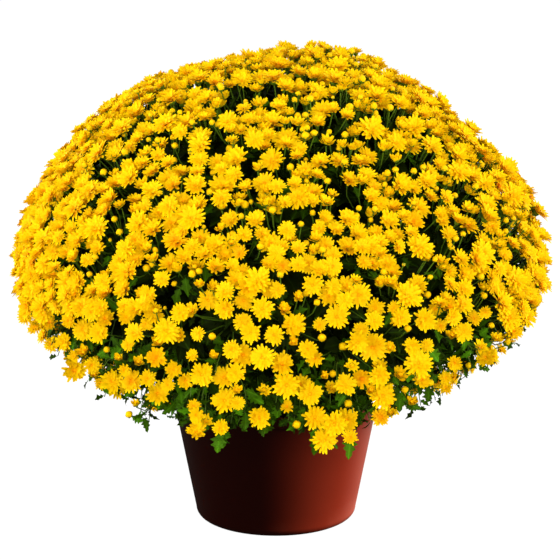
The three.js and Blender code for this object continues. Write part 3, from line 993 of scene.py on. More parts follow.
pot_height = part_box("pot")[1].z
pot_high_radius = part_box("pot")[1].x - RIM_OVERHANG
soil_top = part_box("soil")[1].z
soil_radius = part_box("soil")[1].x


def arc(middle, radius, first, last, steps):
    """Points (radius, height) on a circle's or ellipse's arc; its angles are degrees from outwards."""
    turn = np.radians(np.linspace(first, last, steps))
    return np.array(middle) + np.array(radius) * np.stack([np.cos(turn), np.sin(turn)], -1)


def turned(profile, sides):
    """Points and faces of a profile that starts and ends on the axis, turned about Z."""
    inner = np.array(profile[1:-1])
    rings = circle(inner[:, :1], around(sides), inner[:, 1:]).reshape(-1, 3)
    points = np.concatenate([[[0, 0, profile[0][1]]], rings, [[0, 0, profile[-1][1]]]])
    last = len(points) - 1
    faces = []
    for i in range(sides):
        j = (i + 1) % sides
        faces.append((0, 1 + j, 1 + i))
        faces.append((last, last - sides + i, last - sides + j))
        for row in range(len(inner) - 1):
            a, b = 1 + row * sides + i, 1 + row * sides + j
            faces.append((a, b, b + sides, a + sides))
    return points, faces


def make_piece(name, points, faces, material, sharp=SHARP):
    mesh = bpy.data.meshes.new(name)
    mesh.from_pydata([tuple(p) for p in points], [], faces)
    mesh.shade_smooth()
    mesh.set_sharp_from_angle(angle=sharp)
    mesh.materials.append(material)
    return add_object(name, mesh)


def pot_profile():
    """The pot's wall as (radius, height), from the middle of its foot out, up and back inside."""
    slope = (pot_high_radius - POT_LOW_RADIUS) / (pot_height - POT_CORNER)
    rim_low = pot_height - RIM_DEPTH
    heights = np.append(np.linspace(POT_CORNER, rim_low - RIM_FOOT, POT_WALL_LEVELS), rim_low)
    outer_wall = np.stack([POT_LOW_RADIUS + slope * (heights - POT_CORNER), heights], -1)
    inner_wall = outer_wall[-2::-1] - [POT_WALL, 0]
    foot_middle = (POT_FLAT_RADIUS, POT_CORNER)
    corner = np.array([POT_LOW_RADIUS - POT_FLAT_RADIUS, POT_CORNER])
    rim_radius = pot_high_radius + RIM_OVERHANG
    rim_top = pot_height - RIM_TOP_ROUND
    inner_top = pot_high_radius - POT_WALL + RIM_TOP_ROUND
    return np.concatenate(
        [
            [[0, 0], [POT_FLAT_RADIUS * 0.5, 0]],
            arc(foot_middle, corner, -90, -4, 9),
            outer_wall,
            arc((rim_radius - RIM_LOW_ROUND, rim_low + RIM_LOW_ROUND), RIM_LOW_ROUND, -90, 0, 5),
            arc((rim_radius - RIM_TOP_ROUND, rim_top), RIM_TOP_ROUND, 0, 90, 6),
            arc((inner_top, rim_top), RIM_TOP_ROUND, 90, 180, 6),
            inner_wall,
            arc(foot_middle, corner - POT_WALL, -4, -90, 7),
            [[POT_FLAT_RADIUS * 0.5, POT_WALL], [0, POT_WALL]],
        ]
    )


def make_drill(material):
    """The cylinders that cut the drain holes, as one object."""
    low, high = -POT_WALL, 3 * POT_WALL
    profile = [(0, low), (DRAIN_HOLE_RADIUS, low), (DRAIN_HOLE_RADIUS, high), (0, high)]
    points, faces = turned(profile, DRAIN_HOLE_SIDES)
    centres = circle(DRAIN_CIRCLE_RADIUS, around(DRAIN_HOLES), 0)
    all_points = np.concatenate([points + centre for centre in centres])
    starts = range(0, len(all_points), len(points))
    all_faces = [tuple(v + start for v in face) for start in starts for face in faces]
    return make_piece("drill", all_points, all_faces, material)


def make_pot():
    pot = make_piece("pot_shell", *turned(pot_profile(), POT_SIDES), pot_material())
    drill = make_drill(pot.data.materials[0])
    cut = pot.modifiers.new("holes", "BOOLEAN")
    cut.operation = "DIFFERENCE"
    cut.solver = "EXACT"
    cut.object = drill
    bpy.context.view_layer.update()
    cut_pot = pot.evaluated_get(bpy.context.evaluated_depsgraph_get())
    drilled = bpy.data.meshes.new_from_object(cut_pot)
    pot.modifiers.clear()
    pot.data = drilled
    drilled.set_sharp_from_angle(angle=SHARP)
    bpy.data.objects.remove(drill)
    finish_piece(pot, "pot_plastic", "pot")
    return pot


def crumb(random):
    """A rough little lump of radius about 1."""
    points = np.array([[1, 0, 0], [0, 1, 0], [-1, 0, 0], [0, -1, 0], [0, 0, 1], [0, 0, -1]], float)
    points *= random.uniform(0.55, 1.2, (6, 1))
    sides = [(0, 1), (1, 2), (2, 3), (3, 0)]
    triangles = [(a, b, 4) for a, b in sides] + [(b, a, 5) for a, b in sides]
    return points, np.array(triangles)


def make_soil():
    """Lumpy potting mix that rises to the crown, with crumbs of bark and perlite on it."""
    random = np.random.default_rng(seed=8)
    share = np.linspace(0.0, 1.0, SOIL_RINGS)[1:, None]
    top = circle(share * soil_radius, around(SOIL_SIDES), soil_top - SOIL_MOUND * share**2)
    lumps = sum(height * waves(top, length * MM, seed) for length, height, seed in SOIL_LUMPS)
    top[..., 2] += (lumps * SOIL_RELIEF - SOIL_LOWER) * MM
    under = UP * (soil_top - SOIL_DEPTH)
    low = top[-1] * LEVEL * SOIL_FOOT + under
    points = np.concatenate([[UP * (soil_top - 1 * MM)], top.reshape(-1, 3), low, [under]])
    last = len(points) - 1
    sheet = 1 + wall(SOIL_SIDES, SOIL_RINGS)[0][:, ::-1]
    underside = fan(SOIL_SIDES, last - SOIL_SIDES, last)[:, ::-1]
    batch = Batch()
    batch.add(points, np.concatenate([fan(SOIL_SIDES, 1, 0), sheet, underside]), pale=0.1)
    for _ in range(CRUMBS):
        lump, triangles = crumb(random)
        away = soil_radius * CRUMBS_OUT * math.sqrt(random.uniform())
        angle = random.uniform(0, 2 * math.pi)
        perlite = random.uniform() < PERLITE
        size = random.uniform(*CRUMB_SIZES[perlite])
        stretch = random.uniform(0.4, 1.0, 3) * [1.0, 1.0, 0.6]
        height = soil_top - SOIL_MOUND * (away / soil_radius) ** 2 - CRUMB_SINK
        lump = rotated(lump * stretch * size * MM, angle, X, Y) + circle(away, angle, height)
        batch.add(lump, triangles, pale=0.8 if perlite else random.uniform(0.0, 0.35))
    finish_piece(batch.build("potting_mix", soil_material()), "potting_soil", "soil")


def make_crown(material):
    """The woody knob that the main stems grow from: knotty, with ridges down its sides."""
    profile = np.concatenate(
        [
            [[0, crown_low.z], [crown_radius * CROWN_FOOT, crown_low.z]],
            arc((0, crown_middle[2]), crown_radius, -38, 88, CROWN_ROWS),
            [[0, crown_high.z]],
        ]
    )
    points, faces = turned(profile, CROWN_SIDES)
    fine, broad = CROWN_RIDGES
    ridges = waves(points * RIDGE_STRETCH, *fine) + BROAD_SHARE * waves(points, *broad)
    relief = (ridges - RIDGES_LOWER) * CROWN_RELIEF * fade(points[:, 2], crown_low.z, RELIEF_RISE)
    points = points + unit(points - crown_middle + [0, 0, 1e-9]) * relief[:, None]
    crown = make_piece("woody_crown", points, faces, material, CROWN_SHARP)
    finish_piece(crown, "woody_stem", "root_crown")


def make_main_stems(material):
    """The main stems, from inside the crown's bark out to the leaves, with knots along them."""
    share = np.linspace(0, 1, STEM_STEPS)
    for branch, line in zip(branch_names, branch_lines):
        fit = np.polynomial.polynomial.polyfit(np.linspace(0, 1, len(line)), line, STEM_CURVE)
        smooth = np.polynomial.polynomial.polyval(np.linspace(-STEM_INSIDE, 1, STEM_STEPS), fit).T
        length = np.linalg.norm(np.diff(smooth, axis=0), axis=1).sum()
        knots = np.maximum(np.cos(share * length / KNOT_SPACING * 2 * math.pi), 0) ** 6
        flare = STEM_FLARE * np.exp(-share * FLARE_FALL)
        radii = (STEM_RADIUS - STEM_TAPER * share + flare + KNOT_HEIGHT * knots) * MM
        points, triangles, places = tubes(smooth[None], radii, STEM_SIDES, tip=True)
        batch = Batch(cells=1)
        batch.add(points[0], triangles, places, fresh=np.repeat(0.02 + 0.2 * share, STEM_SIDES))
        stem = batch.build(f"main_stem_{branch}", material)
        finish_piece(stem, "green_stem", f"stem_{branch}")


# ---------------------------------------------------------------- shoots, stalks and twigs
NODES_TRIED = 6000
NODES_OFF_EDGE = 0.06  # radians that they keep off the dome's open underside
NODE_DEPTH = 0.072  # under the level of the heads, where the shoots divide into flower stalks
NODE_SPACING = 0.040
STALKS_UP = 0.6  # how much the flower stalks turn up from square to the dome
HEAD_DEPTH, BUD_DEPTH = 0.36, 0.16  # from a head's place back to its foot, of its radius
STALK_STEPS, SHOOT_STEPS = 5, 7
CURVE_PULL, TWIG_START_PULL = 0.35, 0.4  # how far the curves' ends are pulled, of their reach
SHOOT_START_PULL, SHOOT_END_PULL, SHOOT_PAST_NODE = 0.03, 0.05, 0.001
# How much lower on its stem a shoot starts for each radian that it spreads, and the lowest start.
SHOOT_DROP, LOWEST_SHOOT = 1.1, 0.35
# Radii in mm at the foot and the tip, sides, and freshness at the foot and the tip.
STALK_TUBE = (1.15, 0.8), 3, (0.35, 0.82)
SHOOT_TUBE = (2.1, 1.3), 5, (0.12, 0.30)
TWIG_TUBE = (1.2, 0.6), 3, (0.3, 0.7)

SKIRT_TWIGS = 210  # leafy twigs round the dome's lower edge
SKIRT_FROM, SKIRT_TO = math.radians(98), math.radians(137)
SKIRT_OUTS = -14, 9  # mm that they end inside and outside the dome
# The tips of the leafy twigs that hide the pot's rim, in the photo's frame: columns and row.
FRONT_TWIG_COLUMNS = range(184, 376, 6)
FRONT_TWIG_ROW, ROW_SPREAD, COLUMN_SPREAD = 421, 5, 3
FRONT_TWIG_DOME_ROW = 410  # where the dome is as far away as these tips
# And of those that stand out low on either side.
SIDE_TWIG_TIPS = (
    (88, 381), (107, 397), (127, 400), (143, 397), (163, 414), (151, 424), (140, 412), (173, 414),
    (75, 352), (181, 408), (116, 392), (155, 408), (100, 372), (388, 411), (398, 405), (412, 409),
    (422, 405), (429, 398), (462, 377), (454, 383), (478, 369), (500, 336), (480, 356), (438, 396),
    (405, 398), (470, 362), (490, 348), (440, 352), (120, 372), (60, 356), (512, 345), (395, 392),
)
TWIG_BEHIND = 12, 45  # mm that these lie behind the dome's surface


def frames_facing(ways, random):
    """Rotation matrices, as rows of unit axes, whose Z axes are `ways`, turned at random."""
    x = unit(np.cross(lead_for(ways), ways))
    y = np.cross(ways, x)
    turn = random.uniform(0, 2 * math.pi, (len(ways), 1))
    c, s = np.cos(turn), np.sin(turn)
    return np.stack([x * c + y * s, y * c - x * s, ways], 1)


def spray_nodes():
    """Where the shoots divide into flower stalks: spread evenly, under the heads."""
    directions = fibonacci(NODES_TRIED)
    directions = directions[np.arccos(directions[:, 2]) < LOWEST_ANGLE - NODES_OFF_EDGE]
    places = dome_point(directions, -NODE_DEPTH)
    kept = [0]
    for i, place in enumerate(places):
        if np.linalg.norm(places[kept] - place, axis=1).min() > NODE_SPACING:
            kept.append(i)
    return directions[kept], places[kept]


def on_line(line, t):
    """The point and the direction of a line at a share t of its steps."""
    at = t * (len(line) - 1)
    low = min(int(at), len(line) - 2)
    step = line[low + 1] - line[low]
    return line[low] + step * (at - low), unit(step)


def shoot_lines(node_ways, node_places, node_branch):
    """Shoots from the main stems up to the spray nodes; the outer nodes' shoots leave lower down."""
    starts, pulls = [], []
    for way, branch in zip(node_ways, node_branch):
        spread = math.acos(np.clip(way @ branch_ways[branch], -1, 1))
        share = np.clip(1 - spread * SHOOT_DROP, LOWEST_SHOOT, 1)
        start, along = on_line(branch_lines[branch], share)
        starts.append(start)
        pulls.append(start + along * SHOOT_START_PULL)
    normals = dome_normal(node_ways)
    end_pulls = node_places - normals * SHOOT_END_PULL
    ends = node_places + normals * SHOOT_PAST_NODE
    return bezier(np.array(starts), np.array(pulls), end_pulls, ends, SHOOT_STEPS)


def stalk_lines(heads, starts, start_ways):
    """Flower stalks, from the spray nodes to the undersides of the heads."""
    depth = np.where(heads.kinds >= BUD, BUD_DEPTH, HEAD_DEPTH) * heads.radii
    feet = heads.places - heads.ways * depth[:, None]
    reach = np.linalg.norm(feet - starts, axis=1, keepdims=True)
    start_pulls = starts + start_ways * reach * CURVE_PULL
    return bezier(starts, start_pulls, feet - heads.ways * reach * CURVE_PULL, feet, STALK_STEPS)


def skirt_twigs(node_places, random):
    """Leafy twigs that end at the dome's lower edge: their lines and the nodes that they leave."""
    angle = np.arccos(random.uniform(math.cos(SKIRT_TO), math.cos(SKIRT_FROM), SKIRT_TWIGS))
    turn = random.uniform(0, 2 * math.pi, SKIRT_TWIGS)
    ways = circle(np.sin(angle), turn, np.cos(angle))
    ends = dome_point(ways, random.uniform(*SKIRT_OUTS, SKIRT_TWIGS) * MM)
    rows = [FRONT_TWIG_ROW + random.uniform(-ROW_SPREAD, ROW_SPREAD) for _ in FRONT_TWIG_COLUMNS]
    tips = [(x, y, FRONT_TWIG_DOME_ROW) for x, y in zip(FRONT_TWIG_COLUMNS, rows)]
    tips += [(x, y, y) for x, y in SIDE_TWIG_TIPS]
    front_ways, front_ends = [], []
    for x, y, dome_row in tips:
        way = hit_dome(x, dome_row)
        distance = away_from_camera(dome_point(way)) + random.uniform(*TWIG_BEHIND) * MM
        front_ways.append(way)
        column = x + random.uniform(-COLUMN_SPREAD, COLUMN_SPREAD)
        front_ends.append(camera_place + pixel_ray(column, y) * distance)
    ways, ends = np.concatenate([ways, front_ways]), np.concatenate([ends, front_ends])
    nodes = np.argmin(np.linalg.norm(ends[:, None] - node_places, axis=-1), axis=1)
    starts = node_places[nodes]
    normals = dome_normal(ways)
    reach = np.linalg.norm(ends - starts, axis=1, keepdims=True)
    start_pulls = starts + normals * reach * TWIG_START_PULL
    end_pulls = ends - unit(normals * 0.5 - UP * 0.5) * reach * CURVE_PULL
    return bezier(starts, start_pulls, end_pulls, ends, SHOOT_STEPS), nodes


# ---------------------------------------------------------------- where the leaves are
Leaf = namedtuple("Leaf", "kind foot way size branch fresh facing")
Lines = namedtuple("Lines", "points branches")  # of stalks, shoots or twigs

LEAF_BELOW_HEADS = 0.013  # how far under the heads' level the leaves end
LEAST_LEAF = 0.016
LEAF_SHORTENING = 1.4  # of how far it would reach too high
LEAF_AWAY, LEAF_ALONG, LEAF_OUT = 0.75, 0.25, 0.35  # its way: away from its stem, along it, and out
LEAF_FACES_OUT, LEAF_FACES_UP, LEAF_FACING_SPREAD = 0.8, 0.6, 0.45
SHOOT_LEAVES_AT = (0.34, 0.50, 0.64, 0.78, 0.90)  # shares of a shoot's length
TWIG_LEAVES_AT = (0.50, 0.62, 0.74, 0.84, 0.92, 1.0)
# Leaves on a flower stalk: from where, how likely, and their kind.
STALK_LEAVES = ((0.08, 0.8, DEEP), (0.28, 0.7, DEEP), (0.44, 0.6, SMALL), (0.6, 0.3, SMALL))
STALK_LEAF_DEPTHS = 4, 14  # mm under the heads' level
LOW_STALKS = DOME_CENTRE_HEIGHT - 0.05  # the height below which they have more leaves, painted paler with less shade
LOW_MORE, LOW_LESS_PAINTED_SHADE = 0.2, 0.12
TWIG_LEAF_ROOM = 5 * MM  # over the heads' level
SHOOT_LEAF_SIZES = 0.050, 0.072
DEEP_LEAF_SIZES = 0.026, 0.042
SMALL_LEAF_SIZES = 0.018, 0.030
TWIG_LEAF_SIZES = 0.015, 0.028
LARGE_LEAF_FROM = 0.025
# The tips of the leaves that show under the lowest heads, in the photo's frame.
FRONT_LEAVES = (
    (216, 454), (225, 450), (229, 443), (238, 421), (246, 429), (265, 433), (276, 420), (300, 431),
    (318, 451), (350, 449), (390, 418), (399, 408), (207, 432), (222, 447), (341, 444),
)
FRONT_LEAF_LENGTH = 24 * MM
# And of the smaller ones low on either side.
SIDE_LEAVES = (
    (151, 428), (144, 422), (146, 415), (151, 405), (165, 417), (177, 418), (143, 398), (133, 403),
    (127, 400), (121, 396), (108, 397), (88, 383), (184, 413), (158, 410), (69, 349), (79, 347),
    (122, 347), (114, 352), (96, 353), (168, 352), (462, 380), (479, 371), (452, 385), (427, 404),
    (421, 409), (412, 411), (400, 410), (388, 416), (404, 400), (434, 372), (440, 362), (466, 360),
    (470, 352), (455, 349), (488, 340), (478, 336), (398, 384), (407, 383), (393, 398), (430, 396),
    (358, 373), (351, 366), (367, 371), (359, 365), (368, 363), (363, 374),
)
SIDE_LEAF_LENGTH = 18 * MM
HEAD_ABOVE = 4  # pixels, at least, from such a tip up to the head that it hangs under
TIP_BEHIND = 6 * MM  # from that head back to the tip
FIRST_LEAF_POINT = 2  # of the line that carries it
TESTED_SHARES = (0.4, 0.7, 1.0)  # of a leaf's length, where it is tested for hiding a front head
IN_FRONT = 3 * MM  # how much further away than the head's place a leaf still hides it


def leaf_on(line, t, kind, size, branch, fresh, random, room=-LEAF_BELOW_HEADS):
    """A leaf on a stalk, shortened if it would reach higher than `room` over the heads' level."""
    foot, along = on_line(line, np.clip(t, 0, 1))
    outwards = unit(foot - dome_centre)
    away = unit(np.cross(along, random.normal(size=3)))
    way = unit(away * LEAF_AWAY + along * LEAF_ALONG + outwards * LEAF_OUT)
    tip = foot + way * size - dome_centre
    spare = dome_reach(unit(tip)) + room - np.linalg.norm(tip)
    if spare < 0:
        size = max(size + spare * LEAF_SHORTENING, LEAST_LEAF)
    facing = outwards * LEAF_FACES_OUT + UP * LEAF_FACES_UP
    return Leaf(kind, foot, way, size, branch, fresh, facing)


def shoot_leaves(shoots, random):
    """Large leaves deep in the plant, painted dark as shade."""
    for line, branch in zip(*shoots):
        for t in SHOOT_LEAVES_AT:
            size = random.uniform(*SHOOT_LEAF_SIZES)
            # dark, as painted shade deep in the plant
            fresh = random.uniform(0.0, 0.2)
            yield leaf_on(line, t + random.normal(0, 0.05), DEEP, size, branch, fresh, random)


def stalk_leaves(stalks, heights, random):
    """Leaves low on the flower stalks, painted dark as shade, and small, paler ones further up."""
    for line, branch, height in zip(*stalks, heights):
        low = height < LOW_STALKS
        for t, share, kind in STALK_LEAVES:
            if random.uniform() >= share + LOW_MORE * low:
                continue
            if kind == DEEP:
                size, fresh = random.uniform(*DEEP_LEAF_SIZES), random.uniform(0.0, 0.3)
            else:
                size, fresh = random.uniform(*SMALL_LEAF_SIZES), 0.1 + 0.6 * random.uniform() ** 2
            # paler low on the plant, with less painted shade
            fresh += LOW_LESS_PAINTED_SHADE * low
            room = -random.uniform(*STALK_LEAF_DEPTHS) * MM
            yield leaf_on(line, t + random.uniform(0, 0.2), kind, size, branch, fresh, random, room)


def twig_leaves(twigs, random):
    """Paler leaves all along the twigs' outer halves, with less painted shade than those deep inside."""
    for line, branch in zip(*twigs):
        for t in TWIG_LEAVES_AT:
            size = random.uniform(*TWIG_LEAF_SIZES)
            fresh = random.uniform(0.2, 0.7)
            kind = LARGE if size > LARGE_LEAF_FROM else SMALL
            t_here = t + random.normal(0, 0.03)
            yield leaf_on(line, t_here, kind, size, branch, fresh, random, TWIG_LEAF_ROOM)


def edge_leaves(heads, stalks, twigs, random):
    """The leaves whose tips have a place in the photo, each on the line that fits it best."""
    n = len(FRONT_HEADS)
    front = to_pixels(heads.places[:n])
    carriers = [line[FIRST_LEAF_POINT:] for line in (*twigs.points, *stalks.points[:n])]
    branches = [*twigs.branches, *stalks.branches[:n]]
    tips = [(tip, FRONT_LEAF_LENGTH) for tip in FRONT_LEAVES]
    tips += [(tip, SIDE_LEAF_LENGTH) for tip in SIDE_LEAVES]
    for (x, y), length in tips:
        not_above = front[:, 1] >= y - HEAD_ABOVE
        nearest_head = np.argmin(np.linalg.norm(front - (x, y), axis=1) + 2 * PHOTO_SIDE * not_above)
        ray = pixel_ray(x, y)
        tip = camera_place + ray * (away_from_camera(heads.places[nearest_head]) + TIP_BEHIND)
        misfits = [np.abs(np.linalg.norm(line - tip, axis=1) - length) for line in carriers]
        carrier = int(np.argmin([misfit.min() for misfit in misfits]))
        foot = carriers[carrier][np.argmin(misfits[carrier])]
        size = np.linalg.norm(tip - foot)
        # pale: these hang at the outside, with little painted shade
        fresh = random.uniform(0.5, 0.85)
        yield Leaf(LARGE, foot, (tip - foot) / size, size, branches[carrier], fresh, -ray)


def place_leaves(heads, stalks, shoots, twigs, random):
    """All the leaves, as one Leaf of arrays, with their rotation matrices."""
    leaves = [
        *shoot_leaves(shoots, random),
        *stalk_leaves(stalks, heads.places[:, 2], random),
        *twig_leaves(twigs, random),
        *edge_leaves(heads, stalks, twigs, random),
    ]
    leaves = Leaf(*(np.array(column) for column in zip(*leaves)))
    facings = leaves.facing + random.normal(0, LEAF_FACING_SPREAD, leaves.way.shape)
    side = unit(np.cross(facings, leaves.way))
    return leaves, np.stack([leaves.way, side, np.cross(leaves.way, side)], 1)


def hides_front_head(leaves, heads):
    """Which leaves hang between the camera and a head that has its place on the front."""
    front = heads.places[: len(FRONT_HEADS)]
    hides = np.zeros(len(leaves.size), bool)
    for share in TESTED_SHARES:
        points = leaves.foot + leaves.way * leaves.size[:, None] * share
        away = away_from_camera(points)[:, None]
        apart = np.linalg.norm(to_pixels(points)[:, None] - to_pixels(front), axis=-1)
        over = apart * away / pixels_per_slope < heads.radii[: len(FRONT_HEADS)]
        hides |= (over & (away < away_from_camera(front) + IN_FRONT)).any(1)
    return hides


# ---------------------------------------------------------------- building the plant
OPEN_VARIANTS = 8
SMALL_VARIANTS = 5
BUD_SQUASH = 0.85, 1.15  # the flattest and the tallest bud
OPENNESS = 0.2, 1.1  # the least and the most of an open head that faces level
OPENNESS_UP = 0.5  # how much less open one is that faces up
RIPE_HEADS = 0.03  # the share of the heads that have turned a deeper gold
RIPE = 0.3  # how much deeper
TOP_PAINTED_LIGHT = 0.14  # painted light: how much paler lemon the heads at the very top are tinted, for how the light falls on them there
TOP_FROM, TOP_OVER = 0.42, 0.15  # the height from which the painted light pales them, and over how much more
GREEN_BUDS = 0.08  # the share of the buds that are still green
GREEN_BUD_SIZE = 0.66  # of the size of a yellow one
# Calyxes: their outlines as (radius, height), their size and how far up the head they sit, both
# of its radius, and their freshness at the foot.
HEAD_CUP = ((0.08, -0.36), (0.30, -0.22), (0.36, 0.02))
BUD_CUP = ((0.12, -0.16), (0.92, 0.28), (1.04, 0.95))
CLOSED_CUP = ((0.12, -0.16), (0.92, 0.28), (1.0, 1.0), (0.6, 1.6), (0.25, 1.72))
CALYX_SIDES = 5
CALYXES = {
    OPEN: (HEAD_CUP, 1.0, 0.0, 0.55),
    HALF_OPEN: (HEAD_CUP, 1.9, 0.57, 0.55),
    BUD: (BUD_CUP, 1.0, 0.0, 0.55),
    GREEN_BUD: (CLOSED_CUP, 1.0, 0.0, 0.85),
}


def head_shapes(random):
    shapes = {
        OPEN: [open_head(random, o) for o in np.linspace(0, 1, OPEN_VARIANTS)],
        HALF_OPEN: [half_open_head(random, o) for o in np.linspace(0, 1, SMALL_VARIANTS)],
        BUD: [bud_ball(random, q) for q in np.linspace(*BUD_SQUASH, SMALL_VARIANTS)],
    }
    return shapes | {GREEN_BUD: shapes[BUD]}


def calyxes():
    """For each kind of head its calyx, as (points, triangles, places, fresh)."""
    made = {}
    for kind, (outline, size, lift, fresh) in CALYXES.items():
        rings = [circle(radius, around(CALYX_SIDES), height) for radius, height in outline]
        triangles, places = wall(CALYX_SIDES, len(outline))
        points = np.concatenate(rings) * size + UP * lift
        made[kind] = points, triangles, places, fresh + 0.3 * places[:, 1]
    return made


def ripen(heads, random):
    """Gives the heads how ripe they are, with a painted paler tint for the light on the top heads, and makes
    some buds green and smaller.
    """
    heads.ripeness = np.clip(random.normal(0, 0.05, heads.count), -0.1, 0.1)
    ripe = (random.uniform(size=heads.count) < RIPE_HEADS) & (heads.kinds == OPEN)
    # painted light: the heads at the top are paled towards lemon
    heads.ripeness += RIPE * ripe - TOP_PAINTED_LIGHT * fade(heads.places[:, 2], TOP_FROM, TOP_OVER)
    green = (heads.kinds == BUD) & (random.uniform(size=heads.count) < GREEN_BUDS)
    heads.kinds[green] = GREEN_BUD
    heads.sizes = heads.radii * np.where(green, GREEN_BUD_SIZE, 1.0)


def build_heads(heads, mine, shapes, random):
    """The petals of one branch's heads."""
    batch = Batch(cells=len(mine))
    for i in mine:
        if heads.kinds[i] == OPEN:
            openness = np.clip(random.uniform(*OPENNESS) - OPENNESS_UP * heads.ways[i][2], 0, 1)
        else:
            openness = random.uniform() ** 1.5
        choices = shapes[heads.kinds[i]]
        shape = choices[int(openness * (len(choices) - 1) + 0.5)]
        points, triangles, places, warmth, shade = shape
        points = points * heads.sizes[i] @ heads.axes[i] + heads.places[i]
        batch.add(points, triangles, places, warmth=warmth, shade=shade, ripeness=heads.ripeness[i])
    return batch


def tube_set(lines, radii, sides, fresh):
    """The tubes of some lines, their branches, and their triangles, places and freshness."""
    points, triangles, places = tubes(lines.points, np.linspace(*radii, lines.points.shape[1]) * MM, sides)
    return points, lines.branches, (triangles, places), fresh[0] + (fresh[1] - fresh[0]) * places[:, 1]


def build_greens(heads, mine, cups, tube_sets, branch):
    """One branch's calyxes, stalks, shoots and twigs."""
    own_tubes = [(points[branches == branch], *rest) for points, branches, *rest in tube_sets]
    batch = Batch(cells=len(mine) + sum(len(own[0]) for own in own_tubes))
    for i in mine:
        points, triangles, places, fresh = cups[heads.kinds[i]]
        points = points * heads.sizes[i] @ heads.axes[i] + heads.places[i]
        batch.add(points, triangles, places, fresh=fresh)
    for points, shape, fresh in own_tubes:
        for tube in points:
            batch.add(tube, *shape, fresh=fresh)
    return batch


def build_leaves(leaves, mine, axes, shapes, random):
    batch = Batch(cells=len(mine))
    for i in mine:
        choices = shapes[leaves.kind[i]]
        points, triangles, places, along, across = choices[random.integers(len(choices))]
        points = points * leaves.size[i] @ axes[i] + leaves.foot[i]
        batch.add(points, triangles, places, along=along, across=across, fresh=leaves.fresh[i])
    return batch


def grow_plant(heads, green):
    """The heads, stalks and leaves of all branches. A head belongs to the branch of its stalk."""
    random = np.random.default_rng(seed=33)
    shapes = head_shapes(random)
    leaf_shapes = [[leaf_shape(random, edge, *bend) for bend in LEAF_BENDS] for edge in LEAF_EDGES]
    heads.axes = frames_facing(heads.ways, random)
    ripen(heads, random)

    node_ways, node_places = spray_nodes()
    node_branch = np.argmax(node_ways @ branch_ways.T, axis=-1)
    rise = unit(dome_normal(node_ways) + UP * STALKS_UP)
    node_tops = node_places + rise * NODE_DEPTH
    nearest = [np.argmin(np.linalg.norm(node_tops - place, axis=1)) for place in heads.places]
    stalks = Lines(stalk_lines(heads, node_places[nearest], rise[nearest]), node_branch[nearest])
    shoots = Lines(shoot_lines(node_ways, node_places, node_branch), node_branch)
    twig_points, twig_nodes = skirt_twigs(node_places, random)
    twigs = Lines(twig_points, node_branch[twig_nodes])
    tube_sets = [
        tube_set(stalks, *STALK_TUBE), tube_set(shoots, *SHOOT_TUBE), tube_set(twigs, *TWIG_TUBE),
    ]
    leaves, leaf_axes = place_leaves(heads, stalks, shoots, twigs, random)
    leaf_branch = np.where(hides_front_head(leaves, heads), -1, leaves.branch)

    cups, yellow, leafy = calyxes(), petal_material(), leaf_material()
    for b, branch in enumerate(branch_names):
        mine = np.flatnonzero(stalks.branches == b)
        petals = build_heads(heads, mine, shapes, random)
        greens = build_greens(heads, mine, cups, tube_sets, b)
        foliage = build_leaves(leaves, np.flatnonzero(leaf_branch == b), leaf_axes, leaf_shapes, random)
        finish_piece(petals.build(f"heads_{branch}", yellow), "petal_yellow", f"blooms_{branch}")
        finish_piece(greens.build(f"stalks_{branch}", green), "green_stem")
        finish_piece(foliage.build(f"foliage_{branch}", leafy), "leaf_green", f"leaves_{branch}")


# ---------------------------------------------------------------- studio
WHITE = (1.0, 1.0, 1.0)
SIDE_LIGHT = (0.95, 1.0, 0.90)  # a little green, as light that has come through leaves
RIM_LIGHT = (1.0, 0.84, 0.70)
PLANT_MIDDLE = (0, 0, 0.33)
POT_MIDDLE = (0, 0, 0.08)
# Rings of lamps round the plant: distance, height, side, and each lamp's power by its angle in
# degrees from the right. Those from 233 to 307 degrees are at the front and white.
ROUND_LAMPS = 3.1, 1.3, 2.6, {-150: 24, -110: 30, -70: 30, -30: 24, 0: 38, 60: 54, 120: 54, 180: 42}
LOW_LAMPS = 3.3, 0.3, 2.2, {-94: 60, -40: 26, 0: 38, 90: 66, 180: 46, 220: 26}
FRONT_LAMPS_TO = -0.8  # the sine of the angle
# The pot's own lamps: place, side, power, colour, and whether they show in reflections or light it.
POT_LAMPS = {
    "pot_right": ((2.8, -0.15, 1.35), 1.5, 430, WHITE, False, True),
    "pot_rim": ((1.9, 2.1, 0.75), 0.9, 900, RIM_LIGHT, True, False),
    "pot_back": ((2.0, 2.0, 1.1), 1.5, 420, WHITE, False, True),
    "pot_left": ((-2.6, 1.4, 0.6), 0.9, 5, WHITE, False, True),
}
WORLD_SEEN, WORLD_LIGHT, WORLD_SHINE = 1.0, 0.18, 0.002  # its strength behind, as light, in reflections
FLOOR_HALF = 30.0
FLOOR_GREY = 0.05  # dark, so that it sends up little light; what shows of it is its own white glow


def make_area_light(name, place, target, side, power, color, linked, mirrored=True, diffuse=True):
    data = bpy.data.lights.new(name, "AREA")
    data.shape = "SQUARE"
    data.size = side
    data.energy = power
    data.color = color
    light = add_object(name, data)
    light.location = place
    look(light, Vector(target) - Vector(place))
    light.light_linking.receiver_collection = linked
    light.visible_glossy = mirrored
    light.visible_diffuse = diffuse


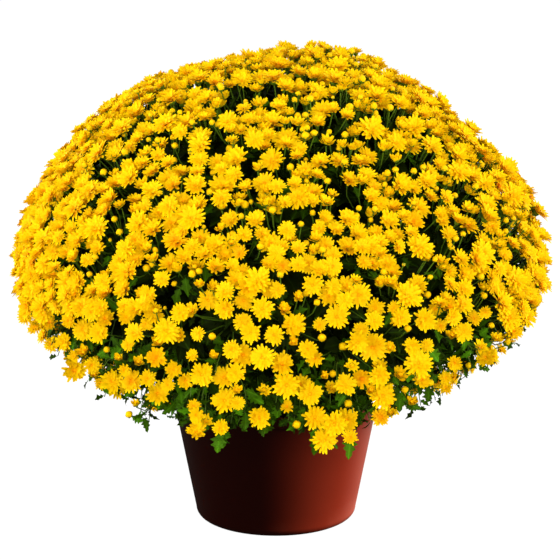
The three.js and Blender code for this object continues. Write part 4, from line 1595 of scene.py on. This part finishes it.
def make_lamp_ring(name, ring, linked):
    distance, height, side, powers = ring
    for turn, power in powers.items():
        angle = math.radians(turn)
        color = WHITE if math.sin(angle) < FRONT_LAMPS_TO else SIDE_LIGHT
        place = circle(distance, angle, height)
        make_area_light(f"{name}_{turn}", place, PLANT_MIDDLE, side, power, color, linked)


def light_group(name, piece, state):
    """A collection that, as a light's receivers, includes or excludes one piece."""
    group = bpy.data.collections.new(name)
    group.objects.link(piece)
    group.collection_objects[0].light_linking.link_state = state
    return group


def make_lights(pot):
    all_but_pot = light_group("all_but_pot", pot, "EXCLUDE")
    pot_only = light_group("pot_only", pot, "INCLUDE")
    make_lamp_ring("round", ROUND_LAMPS, all_but_pot)
    make_area_light("above", (0.2, -0.3, 3.6), PLANT_MIDDLE, 2.4, 11, SIDE_LIGHT, all_but_pot)
    make_lamp_ring("low", LOW_LAMPS, all_but_pot)
    for name, (place, side, power, color, mirrored, diffuse) in POT_LAMPS.items():
        make_area_light(name, place, POT_MIDDLE, side, power, color, pot_only, mirrored, diffuse)


def make_world():
    world = bpy.data.worlds.new("studio")
    sky = Nodes(world)
    background = sky.tree.nodes["Background"].inputs
    sky.feed(background["Color"], (*WHITE, 1))
    sky.feed(background["Strength"], sky.ray_switch(WORLD_SEEN, WORLD_LIGHT, WORLD_SHINE))
    bpy.context.scene.world = world


def make_floor():
    mesh = bpy.data.meshes.new("floor")
    corners = [(x * FLOOR_HALF, y * FLOOR_HALF, 0) for x, y in ((-1, -1), (1, -1), (1, 1), (-1, 1))]
    mesh.from_pydata(corners, [], [(0, 1, 2, 3)])
    pale = Surface("pale_floor", roughness=1.0, gloss=0.0)
    pale.feed(pale.shader["Base Color"], (FLOOR_GREY, FLOOR_GREY, FLOOR_GREY, 1))
    pale.feed(pale.shader["Emission Color"], (*WHITE, 1))
    pale.feed(pale.shader["Emission Strength"], pale.ray_switch(1.0, 0.0, 0.0))
    mesh.materials.append(pale.material)
    add_object("floor", mesh)


bpy.context.scene.view_settings.view_transform = "Standard"
make_camera()
make_world()
make_floor()
make_lights(make_pot())
make_soil()
make_crown(wood_material())
green = green_material()
make_main_stems(green)
grow_plant(place_heads(), green)
